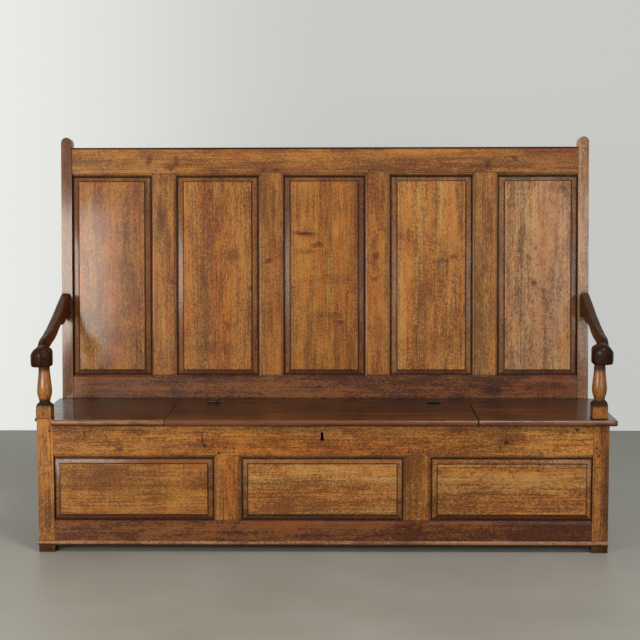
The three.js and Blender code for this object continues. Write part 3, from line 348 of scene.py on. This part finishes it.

    # Black wax and painted shade: worm holes and crack lines in wax, and painted shade in the openings, the
    # corners and the shade lines
    cells = {"Vector": along, "Scale": WORM_CELLS_PER_METRE}
    chance = add(tree, "SeparateColor", {0: add(tree, "TexVoronoi", cells, output="Color")})
    hole_size = add(tree, "MapRange", {0: chance, 1: 0.75, 2: 1, 3: 0, 4: 0.075})
    hole = add(tree, "Math", {
        0: add(tree, "TexVoronoi", cells, output="Distance"), 1: hole_size,
    }, operation="LESS_THAN")
    wax_and_shade = add(tree, "Math", {0: hole, 1: 0.65}, operation="MULTIPLY")
    ragged = add(tree, "MapRange", {0: patterns["fleck"], 1: 0.3, 2: 0.7, 3: -0.14, 4: 0.14})
    # Ambient occlusion darkens the corners with the wax black: painted shade
    corner_shade = add(tree, "AmbientOcclusion", {"Distance": CORNER_SHADE_REACH}, output="AO", samples=6)
    torn = add(tree, "Math", {0: ragged, 1: corner_shade}, operation="ADD")
    grime_and_shade = add(tree, "MapRange", {0: torn, 1: 0.85, 2: 0.4, 3: 0, 4: board["grime_and_shade"]})
    layers = [grime_and_shade]
    # Panel faces that look down are blackened: painted shade
    if board["edge"] == "panel":
        layers.append(add(tree, "Math", {0: shade_below, 1: patterns["mottle"]}, operation="MULTIPLY"))
    if board["edge"]:
        kept = add(tree, "MapRange", {0: patterns["fleck"], 1: 0.35, 2: 0.55, 3: 0.45, 4: 1})
        layers.append(add(tree, "Math", {0: edge_wax_and_shade(tree, depth, facing, board["edge"]), 1: kept},
                          operation="MULTIPLY"))
    if board["cracks_and_shade_lines"]:
        layers.append(marked(tree, place, board["cracks_and_shade_lines"]))
    for layer in layers:
        wax_and_shade = add(tree, "Math", {0: wax_and_shade, 1: layer}, operation="MAXIMUM")
    colour = add(tree, "Mix", {FACTOR: wax_and_shade, FIRST: colour, SECOND: BLACK_WAX_AND_SHADE}, output=MIXED, data_type="RGBA")

    # The faces turned away from view were never waxed, and are dusty and dull
    looks_back = add(tree, "SeparateXYZ", {0: facing}, output=1)
    rear = add(tree, "MapRange", {0: looks_back, 1: 0.6, 2: 0.9})
    dusty = add(tree, "Math", {0: rear, 1: 0.55}, operation="MULTIPLY")
    colour = add(tree, "Mix", {FACTOR: dusty, FIRST: colour, SECOND: DUST}, output=MIXED,
                 data_type="RGBA")

    # Wax shines unevenly, and hardly at all in the corners
    shine = add(tree, "MapRange", {
        0: patterns["mottle"], 1: 0.3, 2: 0.7, 3: board["rough"] - 0.08, 4: board["rough"] + 0.08,
    })
    rough = add(tree, "Math", {0: wax_and_shade, 1: 0.3, 2: shine}, operation="MULTIPLY_ADD")
    rough = add(tree, "Math", {0: rear, 1: 0.35, 2: rough}, operation="MULTIPLY_ADD")
    dull = add(tree, "Math", {0: wax_and_shade, 1: rear}, operation="MAXIMUM")
    coat = add(tree, "MapRange", {0: dull, 3: board["coat"], 4: 0})

    # Hand-planed faces are never quite flat, and open pores break the gloss
    height = add(tree, "Math", {0: patterns["cloud"], 1: CLOUD_RELIEF}, operation="MULTIPLY")
    for pattern, relief in FINE_RELIEF:
        height = add(tree, "Math", {0: patterns[pattern], 1: relief, 2: height}, operation="MULTIPLY_ADD")
    bump = add(tree, "Bump", {"Height": height, "Distance": 1, "Strength": board["bump"]})

    shader = add(tree, "BsdfPrincipled", {
        "Base Color": colour, "Roughness": rough, "Normal": bump, "Specular IOR Level": board["specular"],
        "Coat Weight": coat, "Coat Roughness": board["gloss"],
    })
    add(tree, "OutputMaterial", {"Surface": shader})
    return material


def iron(name):
    """Wrought iron gone dark: nearly black scale, with brown rust where damp sat."""
    material = bpy.data.materials.new(name)
    material.use_nodes = True
    tree = material.node_tree
    tree.nodes.clear()
    place = add(tree, "TexCoord", output="Object")
    scale_marks = add(tree, "TexNoise", {"Vector": place, "Scale": 160, "Detail": 4, "Roughness": 0.6})
    damp = add(tree, "TexNoise", {"Vector": place, "Scale": 60, "Detail": 3})
    rusty = add(tree, "MapRange", {0: damp, 1: 0.5, 2: 0.72, 4: 0.7})
    dark = add(tree, "ValToRGB", {0: scale_marks}, stops=[(0.3, linear("#1c1917")), (0.7, linear("#453f3a"))])
    colour = add(tree, "Mix", {FACTOR: rusty, FIRST: dark, SECOND: linear("#4f3020")}, output=MIXED,
                 data_type="RGBA")
    rough = add(tree, "MapRange", {0: scale_marks, 3: 0.38, 4: 0.68})
    metal = add(tree, "MapRange", {0: rusty, 3: 1, 4: 0.2})
    bump = add(tree, "Bump", {"Height": scale_marks, "Distance": 0.3 * MM, "Strength": 0.8})
    shader = add(tree, "BsdfPrincipled", {
        "Base Color": colour, "Roughness": rough, "Metallic": metal, "Normal": bump,
    })
    add(tree, "OutputMaterial", {"Surface": shader})
    return material


# How strongly each pattern shows in a figure
GRAIN = ("band", "fibre", "fleck", "mottle", "cloud")
FIGURE = {
    "band": 1.1, "fibre": 1.35, "fleck": 1.7, "mottle": 0.95, "cloud": 0.8, "ripple": 0.95, "rings": 0.2,
}
BOLD = dict(FIGURE, band=1.1, fibre=1.55, fleck=1.9, mottle=1.1, cloud=1.0)
MILD = dict(FIGURE, fibre=1.0, fleck=1.3, mottle=0.6, cloud=0.5)
STREAKED = dict(FIGURE, band=2.0, fibre=2.1, fleck=2.7, mottle=2.2, cloud=2.0, ripple=0.5)

# What boards have in common
PLAIN = {
    "view": "front", "arris": 0.5, "marks": (), "cracks_and_shade_lines": (), "edge": None, "worn": None,
    "figure": FIGURE, "bevel_stain": 0.72, "fades": (), "patches": 0.85, "grime_and_shade": 0.85,
    "rough": 0.5, "specular": 0.2, "coat": 0.28, "gloss": 0.17, "bump": 0.6,
}
FRONT = dict(PLAIN, slot="front_oak", figure=BOLD)
BACK = dict(PLAIN, slot="back_oak", view="back")
SEAT = dict(PLAIN, slot="seat_oak", view="top", grain="x", arris=1.2, rough=0.34, coat=0.5, gloss=0.14,
            bump=0.15, patches=0.6, worn="#6a3f24",
            figure=dict(BOLD, ripple=0.3, band=3.4, fibre=3.2, mottle=3.0, cloud=2.8))
DRY = dict(PLAIN, slot="inner_oak", arris=1.0, rough=0.75, coat=0, bump=1, colour="#866646", patches=0.4)
ARM = dict(PLAIN, slot="arm_oak", grain="y", rough=0.42, coat=0.12, gloss=0.14, specular=0.1,
           patches=0.6, grime_and_shade=0.8, bump=0.4, fades=[(1, 105, 62, (0.5, 0.42, 0.4))])
# Turned supports: the dark rings in the neck above the block and under the arm are painted shade
TURNED = dict(PLAIN, slot="turned_oak", grain="z", colour="#7f5226", rough=0.35, coat=0.35, gloss=0.14,
              bump=0.4, grime_and_shade=0.95, cracks_and_shade_lines=[(0, 504, 3000, 17, 0.95), (0, 624, 3000, 20, 0.8)])
# The right arm's darker tone is painted shade
ARM_COLOURS = {"left": "#4a2610", "right": "#3e1c0d"}

# A painted shadow line on the front rail under the seat's edge; the seams beside the lid fill with wax
UNDER_SEAT_SHADOW = (0, 430, 3000, 3.5, 0.9)
LID_SEAMS = [(-522, -80, 2, 900, 0.9), (516, -80, 3.5, 900, 0.95)]

# Tones that boards of this bench share, some holding a painted sheen or painted shade
HONEY = "#8a5c28"
AMBER = "#946a38"
# Paler and greyer: a painted sheen
PALE_SHEEN_GREY = "#927050"
BROWN = "#60381a"
BEAD_BROWN = "#805a3c"
SEAT_RED_BROWN = "#4e2a14"
SEAT_DARK = "#301a0e"
# Painted shade from the raked back, on the rear seat board
SEAT_SHADED_DARKEST = "#20120a"

# Node, family, colour, grain and moulded edge, with anything that a board has of its own
BOARDS = [
    ("front_top_rail", FRONT, HONEY, "x", "down", {
        # Paler and greyer towards the right end: a painted sheen
        "fades": [(0, 450, 820, (1.3, 1.4, 1.5))],
        "cracks_and_shade_lines": [UNDER_SEAT_SHADOW, (-792, 401, 2, 26, 0.85), (-399, 387, 2.4, 32, 0.95), (-392, 362, 8, 8, 0.9),
                   (610, 373, 10, 7, 0.95), (843, 417, 7, 5, 0.8), (590, 356, 4, 12, 0.7)],
        "marks": [(-673, 354, 15, 9, 0.8), (-620, 405, 44, 16, 0.5), (610, 371, 38, 24, 0.7),
                  (843, 417, 10, 7, 0.85), (-120, 350, 24, 7, 0.5), (90, 410, 30, 9, 0.4)],
    }),
    ("front_bottom_rail", FRONT, BROWN, "x", "up", {"figure": STREAKED, "marks": [(-660, 60, 60, 18, 0.5)]}),
    ("front_muntin_left", FRONT, HONEY, "z", "sides", {}),
    ("front_muntin_right", FRONT, HONEY, "z", "sides", {}),
    ("front_panel_left", FRONT, HONEY, "x", "panel", {}),
    ("front_panel_centre", FRONT, AMBER, "x", "panel", {}),
    ("front_panel_right", FRONT, AMBER, "x", "panel", {"bevel_stain": 0.35}),
    ("front_post_left", FRONT, HONEY, "z", None, {
        "arris": 1.5, "cracks_and_shade_lines": [(-925, 2, 60, 36, 0.85)], "marks": [(-925, 120, 30, 60, 0.35)]}),
    ("front_post_right", FRONT, HONEY, "z", None, {
        "arris": 1.5, "cracks_and_shade_lines": [(944, 210, 12, 260, 0.4), (925, 2, 60, 36, 0.85)],
        "marks": [(940, 220, 22, 260, 0.65), (925, 60, 30, 40, 0.5)]}),
    ("side_top_rail_left", FRONT, HONEY, "x", "down", {"view": "left"}),
    ("side_bottom_rail_left", FRONT, BROWN, "x", "up", {"view": "left"}),
    ("side_panel_left", FRONT, HONEY, "x", "panel", {"view": "left"}),
    ("side_top_rail_right", FRONT, HONEY, "x", "down", {"view": "right"}),
    ("side_bottom_rail_right", FRONT, BROWN, "x", "up", {"view": "right"}),
    ("side_panel_right", FRONT, HONEY, "x", "panel", {"view": "right"}),
    ("base_moulding", dict(PLAIN, figure=BOLD), BEAD_BROWN, "x", None, {
        # The black line along the bead's lower edge is painted shade
        "slot": "bead_oak", "arris": 0.6, "cracks_and_shade_lines": [(0, 25, 3000, 6, 0.9)]}),
    ("back_top_rail", BACK, HONEY, "x", "down", {
        "cracks_and_shade_lines": [(0, 901.5, 3000, 4, 0.95), (-804, 820, 2, 8, 0.7)],
        "marks": [(-632, 858, 16, 28, 0.8), (-534, 856, 14, 24, 0.75), (684, 865, 14, 16, 0.8),
                  (587, 842, 14, 22, 0.8), (-555, 834, 28, 12, 0.85), (-400, 824, 60, 9, 0.5),
                  (-223, 822, 14, 9, 0.5), (-174, 824, 16, 9, 0.5), (180, 824, 30, 9, 0.5),
                  (570, 822, 26, 9, 0.5)],
    }),
    ("back_seat_rail", BACK, BROWN, "x", "up", {
        "figure": STREAKED,
        "marks": [(-398, 38, 9, 5, 0.7), (-23, 43, 9, 5, 0.7), (608, 26, 40, 24, 1), (-540, 30, 20, 9, 0.6)],
    }),
    ("back_muntin_1", BACK, HONEY, "z", "sides", {
        "marks": [(-550, 418, 15, 12, 0.85), (-590, 640, 12, 60, 0.6), (-566, 560, 16, 80, 0.5),
                  (-606, 300, 10, 120, 0.4)]}),
    ("back_muntin_2", BACK, HONEY, "z", "sides", {
        "marks": [(-200, 496, 17, 13, 0.9), (-184, 700, 12, 90, 0.5), (-200, 300, 24, 70, 0.45)]}),
    ("back_muntin_3", BACK, HONEY, "z", "sides", {
        "marks": [(190, 516, 16, 16, 0.85), (183, 430, 13, 11, 0.8), (196, 250, 24, 80, 0.45)]}),
    ("back_muntin_4", BACK, AMBER, "z", "sides", {
        "figure": MILD, "marks": [(565, 300, 8, 12, 0.5), (585, 470, 16, 20, 0.4)]}),
    ("back_panel_1", BACK, HONEY, "z", "panel", {
        "coat": 0.38, "gloss": 0.12,
        "marks": [(-717, 604, 10, 60, 0.5), (-700, 420, 14, 90, 0.4), (-760, 230, 60, 40, 0.4)]}),
    ("back_panel_2", BACK, HONEY, "z", "panel", {
        "marks": [(-333, 513, 44, 24, 0.55), (-270, 395, 10, 12, 0.7), (-440, 420, 16, 110, 0.4),
                  (-390, 180, 90, 30, 0.4)]}),
    ("back_panel_3", BACK, HONEY, "z", "panel", {
        "coat": 0.16, "cracks_and_shade_lines": [(-71, 595, 30, 3, 0.75)],
        "marks": [(-71, 594, 52, 11, 0.9), (-26, 556, 26, 14, 0.85), (-60, 530, 44, 12, 0.5),
                  (59, 271, 18, 13, 0.8), (20, 300, 60, 12, 0.4), (20, 430, 90, 20, 0.3)]}),
    ("back_panel_4", BACK, AMBER, "z", "panel", {
        "marks": [(466, 509, 18, 12, 0.85), (424, 496, 40, 9, 0.6), (302, 589, 14, 36, 0.55),
                  (400, 200, 120, 50, 0.3)]}),
    ("back_panel_5", BACK, PALE_SHEEN_GREY, "z", "panel", {
        "coat": 0.4, "gloss": 0.14,
        "marks": [(759, 543, 8, 13, 0.6), (739, 509, 12, 14, 0.6), (752, 415, 12, 16, 0.7),
                  (840, 760, 60, 26, 0.45)]}),
    ("back_stile_left", BACK, BROWN, "z", None, {
        # Paler and greyer low down: a painted sheen
        "coat": 0.55, "gloss": 0.12, "fades": [(2, 860, 700, (1.1, 1.2, 1.4))], "arris": 1.5}),
    ("back_stile_right", BACK, PALE_SHEEN_GREY, "z", None, {"coat": 0.6, "gloss": 0.12, "arris": 1.5}),
    ("back_bottom_rail", DRY, None, "x", None, {}),
    ("back_board_lower", DRY, None, "x", None, {}),
    ("back_board_upper", DRY, None, "x", None, {}),
    ("seat_end_left", SEAT, SEAT_DARK, "x", None, {
        "worn": "#8a5f3c", "cracks_and_shade_lines": [LID_SEAMS[0]]}),
    ("seat_end_right", SEAT, SEAT_RED_BROWN, "x", None, {
        "worn": "#74492f", "cracks_and_shade_lines": [LID_SEAMS[1]]}),
    # The rear boards are darker than the front ones: painted shade from the raked back
    ("seat_rear_board", SEAT, SEAT_SHADED_DARKEST, "x", None, {"worn": None}),
    ("lid_front_board", SEAT, SEAT_RED_BROWN, "x", None, {"cracks_and_shade_lines": LID_SEAMS}),
    # Darker than the front lid board: painted shade from the raked back
    ("lid_rear_board", SEAT, SEAT_DARK, "x", None, {"worn": None, "cracks_and_shade_lines": LID_SEAMS}),
    ("seat_rear_bearer", DRY, None, "x", None, {}),
    ("seat_cross_rail_left", DRY, None, "y", None, {}),
    ("seat_cross_rail_right", DRY, None, "y", None, {}),
    ("lid_batten_left", DRY, None, "y", None, {}),
    ("lid_batten_right", DRY, None, "y", None, {}),
    ("floor_bearer_front", DRY, None, "x", None, {}),
    ("floor_bearer_rear", DRY, None, "x", None, {}),
    ("floor_board_1", DRY, None, "x", None, {}),
    ("floor_board_2", DRY, None, "x", None, {}),
    ("floor_board_3", DRY, None, "x", None, {}),
]


def select_only(piece):
    bpy.ops.object.select_all(action="DESELECT")
    piece.select_set(True)
    bpy.context.view_layer.objects.active = piece


def copy_of(node):
    """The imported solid's mesh as a new piece, its loose triangles joined and its flats made whole."""
    name = "worn_" + node
    piece = bpy.data.objects.new(name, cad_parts[node].data.copy())
    bpy.context.scene.collection.objects.link(piece)
    select_only(piece)
    bpy.ops.object.mode_set(mode="EDIT")
    bpy.ops.mesh.select_all(action="SELECT")
    bpy.ops.mesh.remove_doubles(threshold=0.01 * MM)
    bpy.ops.mesh.customdata_custom_splitnormals_clear()
    bpy.ops.mesh.dissolve_limited(angle_limit=math.radians(0.3))
    bpy.ops.object.mode_set(mode="OBJECT")
    return piece


def apply_all(piece):
    select_only(piece)
    for modifier in list(piece.modifiers):
        bpy.ops.object.modifier_apply(modifier=modifier.name)


def dress(piece, node, material):
    """Gives a piece its material and the body of the node that it stands in for."""
    piece.data.materials.clear()
    piece.data.materials.append(material)
    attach(piece, body_of_node(node))
    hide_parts(node)


def softened(node, arris):
    """A board with its arrises rubbed round by use."""
    piece = copy_of(node)
    bevel = piece.modifiers.new("arris", "BEVEL")
    bevel.width = arris
    bevel.segments = 2
    bevel.limit_method = "ANGLE"
    bevel.angle_limit = math.radians(28)
    apply_all(piece)
    select_only(piece)
    bpy.ops.object.shade_smooth_by_angle(angle=math.radians(40))
    # Wide faces stay flat to the eye, and only the arrises turn the light
    flat = piece.modifiers.new("flat", "WEIGHTED_NORMAL")
    flat.keep_sharp = True
    apply_all(piece)
    return piece


# Knob at the front end of an arm
KNOB_HEIGHT = 70 * MM
KNOB_DEPTH = 78 * MM
KNOB_BLEND = 26 * MM
KNOB_FALL = 25 * MM
KNOB_LEAN = 12 * MM


def swell_knob(arm, node):
    """Lets the knob's top fall away on both sides of its ridge and lean back into the arm."""
    low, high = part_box(node)
    middle = (low.x + high.x) / 2
    half = (high.x - low.x) / 2
    for vertex in arm.data.vertices:
        behind = vertex.co.y - low.y
        share = min(max((KNOB_DEPTH - behind) / KNOB_BLEND, 0), 1)
        up = min(max((vertex.co.z - low.z) / KNOB_HEIGHT - 0.35, 0), 0.65) / 0.65
        across = (vertex.co.x - middle) / half
        vertex.co.z -= share * up * up * across * across * KNOB_FALL
        vertex.co.y += share * up ** 3 * (1 - behind / KNOB_DEPTH) * KNOB_LEAN


def carved(node, voxel, passes, shape=None):
    """A carved or turned piece: rounded all over, as cut by hand and rubbed by hands since."""
    piece = copy_of(node)
    remesh = piece.modifiers.new("even", "REMESH")
    remesh.mode = "VOXEL"
    remesh.voxel_size = voxel
    apply_all(piece)
    if shape:
        shape(piece, node)
    smooth = piece.modifiers.new("rubbed", "SMOOTH")
    smooth.factor = 0.5
    smooth.iterations = passes
    apply_all(piece)
    select_only(piece)
    bpy.ops.object.shade_smooth()
    return piece


def make_boards():
    for seed, (node, family, colour, grain, edge, own) in enumerate(BOARDS, 1):
        board = dict(family, colour=colour or family["colour"], grain=grain, edge=edge)
        board.update(own)
        dress(softened(node, board["arris"] * MM), node, oak("waxed_oak_" + node, board, seed))


def make_arms_and_supports():
    for seed, side in enumerate(("left", "right")):
        arm = carved("arm_" + side, 2.2 * MM, 16, swell_knob)
        look = dict(ARM, colour=ARM_COLOURS[side])
        dress(arm, "arm_" + side, oak("polished_oak_arm_" + side, look, 61 + seed))
        support = carved("arm_support_" + side, 1.3 * MM, 4)
        dress(support, "arm_support_" + side, oak("turned_oak_" + side, TURNED, 71 + seed))


def make_iron_pieces():
    metal = iron("wrought_iron")
    for node in ("hinge_fixed_leaf", "hinge_lid_leaf", "hinge_pin"):
        for side in ("left", "right"):
            name = f"{node}_{side}"
            dress(softened(name, 0.2 * MM), name, metal)
    for name in ("lock_case", "lock_bolt", "lid_staple"):
        dress(softened(name, 0.4 * MM), name, metal)


# Pegs of the joints: across, up and radius in mm. On the back they are measured up the rake, from the
# seat.
BACK_PEGS = [
    (-606, 824, 3.2), (-555, 824, 3.8), (-223, 822, 3.4), (-174, 822, 3.2), (161, 822, 3.3), (209, 822, 3.7),
    (547, 824, 3.2), (598, 824, 3.4), (-598, 63, 3.4), (-551, 63, 3.1), (-217, 63.5, 3.6),
    (-176.5, 63.5, 3.3),
    (164, 62.5, 3.2), (214, 64, 3.5), (600, 62, 3.4),
]
FRONT_PEGS = [
    (-344.5, 338.5, 4.6), (-294.5, 352.5, 3.2), (287, 341.5, 3.4), (335.5, 342.5, 3.2),
    (908, 354, 3.4), (916.5, 329, 3.2), (917, 290, 3), (-909, 411, 3.3),
]
PEG = dict(PLAIN, grain="y", colour="#2b170c")


def make_pegs(name, places, view):
    """Riven pegs, their ends trimmed by hand and standing a little proud of the frame."""
    turn, zero = VIEWS[view]
    onto_bench = Matrix.Translation(zero) @ turn.to_matrix().to_4x4().inverted()
    ends = []
    for count, (across, up, radius) in enumerate(places):
        bpy.ops.object.select_all(action="DESELECT")
        bpy.ops.mesh.primitive_cylinder_add(vertices=10, radius=radius * MM, depth=5 * MM)
        peg = bpy.context.active_object
        lean = Euler((math.pi / 2 + 0.05 * math.sin(count), 0.08 * math.cos(count * 1.7), 0))
        peg.data.transform(lean.to_matrix().to_4x4())
        peg.data.transform(onto_bench @ Matrix.Translation((across * MM, 1.9 * MM, up * MM)))
        bevel = peg.modifiers.new("trimmed", "BEVEL")
        bevel.width = 0.5 * MM
        bevel.segments = 2
        apply_all(peg)
        ends.append(peg)
    bpy.ops.object.select_all(action="DESELECT")
    for peg in ends:
        peg.select_set(True)
    bpy.context.view_layer.objects.active = ends[0]
    bpy.ops.object.join()
    pegs = bpy.context.active_object
    pegs.name = name
    bpy.ops.object.shade_smooth_by_angle(angle=math.radians(40))
    pegs.data.materials.clear()
    pegs.data.materials.append(oak("oak_" + name, dict(PEG, view=view), 90 + len(places)))
    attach(pegs, FRAME_BODY)


# The wall stands behind the bench, and its line with the floor lies where the photograph shows it
WALL_BEHIND = 2.05
STAGE_SIZE = 16


def seen_ray(tree):
    """1 where the camera, a reflection or glass looks at the background, and 0 where light spreads."""
    seen = add(tree, "LightPath", output="Is Camera Ray")
    for ray in ("Is Glossy Ray", "Is Transmission Ray"):
        seen = add(tree, "Math", {0: seen, 1: add(tree, "LightPath", output=ray)}, operation="MAXIMUM")
    return seen


def make_stage():
    """A pale floor and a pale wall behind the bench, in one piece."""
    bpy.ops.object.select_all(action="DESELECT")
    bpy.ops.mesh.primitive_grid_add(x_subdivisions=2, y_subdivisions=2, size=STAGE_SIZE)
    floor = bpy.context.active_object
    floor.name = "floor"
    for vertex in floor.data.vertices:
        if vertex.co.y > 1:
            vertex.co.z = vertex.co.y
        if vertex.co.y > -1:
            vertex.co.y = WALL_BEHIND
    material = bpy.data.materials.new("pale_floor_and_wall_paint")
    material.use_nodes = True
    tree = material.node_tree
    tree.nodes.clear()
    place = add(tree, "TexCoord", output="Object")
    height = add(tree, "SeparateXYZ", {0: place}, output=2)
    across = add(tree, "SeparateXYZ", {0: place}, output=0)
    is_wall = add(tree, "Math", {0: height, 1: 2 * MM}, operation="GREATER_THAN")
    polish = add(tree, "TexNoise", {"Vector": place, "Scale": 1.7, "Detail": 4, "Roughness": 0.6})
    concrete = add(tree, "ValToRGB", {0: polish}, stops=[(0.3, linear("#9a9a91")), (0.7, linear("#a9a8a1"))])
    colour = add(tree, "Mix", {FACTOR: is_wall, FIRST: concrete, SECOND: linear("#d4d6d3")},
                 output=MIXED, data_type="RGBA")
    gloss = add(tree, "MapRange", {0: polish, 1: 0.3, 2: 0.7, 3: 0.4, 4: 0.5})
    painted = add(tree, "BsdfPrincipled", {
        "Base Color": colour, "Roughness": gloss, "Specular IOR Level": 0.22,
    })
    # Daylight from the left fades along the wall
    daylight = add(tree, "MapRange", {0: across, 1: -1.9, 2: 0.1}, interpolation_type="SMOOTHSTEP")
    wall_tone = add(tree, "Mix", {FACTOR: daylight, FIRST: linear("#f2f4f1"), SECOND: linear("#cbcdca")},
                    output=MIXED, data_type="RGBA")
    bright = add(tree, "Emission", {"Color": wall_tone, "Strength": 1})
    share = add(tree, "Math", {0: seen_ray(tree), 1: is_wall}, operation="MULTIPLY")
    share = add(tree, "Math", {0: share, 1: 0.85}, operation="MULTIPLY")
    mixed = add(tree, "MixShader", {"Fac": share, 1: painted, 2: bright})
    # The wall is clear from behind, so that the back of the bench can be looked at
    behind = add(tree, "NewGeometry", output="Backfacing")
    clear = add(tree, "BsdfTransparent")
    one_way = add(tree, "MixShader", {"Fac": behind, 1: mixed, 2: clear})
    add(tree, "OutputMaterial", {"Surface": one_way})
    floor.data.materials.append(material)


def make_lights():
    """A wide window on the left, a ceiling light in front, and a weak window on the right."""
    world = bpy.data.worlds.new("soft_room_light")
    bpy.context.scene.world = world
    world.use_nodes = True
    tree = world.node_tree
    tree.nodes.clear()
    ambient = add(tree, "Background", {"Color": linear("#f2f3f5"), "Strength": 0.24})
    around = add(tree, "Background", {"Color": linear("#bcbebc"), "Strength": 1})
    mixed = add(tree, "MixShader", {"Fac": seen_ray(tree), 1: ambient, 2: around})
    add(tree, "OutputWorld", {"Surface": mixed})
    lamps = [
        # name, place, place it shines at, width and height, watts, colour
        ("window_left", (-2.7, -3.6, 1.12), (-2.7, 0, 1.12), (2.6, 0.9), 134, "#fff5e8"),
        ("ceiling_front", (1.1, -2.6, 3.6), (0, 0.1, 0.7), (1.2, 1.2), 76, "#fffaf2"),
        ("window_right", (2.7, -3.6, 1.1), (2.7, 0, 1.1), (2.6, 1.1), 36, "#f6f9ff"),
    ]
    for name, place, aim, (width, height), power, colour in lamps:
        lamp = bpy.data.lights.new(name, "AREA")
        lamp.shape = "RECTANGLE"
        lamp.size = width
        lamp.size_y = height
        lamp.energy = power
        lamp.color = linear(colour)[:3]
        holder = bpy.data.objects.new(name, lamp)
        bpy.context.scene.collection.objects.link(holder)
        holder.location = place
        holder.rotation_euler = (Vector(aim) - Vector(place)).to_track_quat("-Z", "Y").to_euler()


# The photograph's own viewpoint, in metres, degrees and millimetres of lens
VIEWPOINT = (MIDDLE + 0.09, FRONT_FACE - 4.904, 1.281)
VIEW_TURN = (84.19, 0.14, 1.11)
LENS = 84.26


def make_camera():
    camera = bpy.data.cameras.new("camera")
    camera.sensor_width = 36
    camera.lens = LENS
    camera.clip_end = 60
    holder = bpy.data.objects.new("camera", camera)
    bpy.context.scene.collection.objects.link(holder)
    holder.location = VIEWPOINT
    holder.rotation_euler = Euler([math.radians(degrees) for degrees in VIEW_TURN])
    bpy.context.scene.camera = holder


make_camera()
make_lights()
make_stage()
make_boards()
make_arms_and_supports()
make_iron_pieces()
make_pegs("back_pegs", BACK_PEGS, "back")
make_pegs("front_pegs", FRONT_PEGS, "front")

bpy.context.scene.view_settings.view_transform = "Standard"
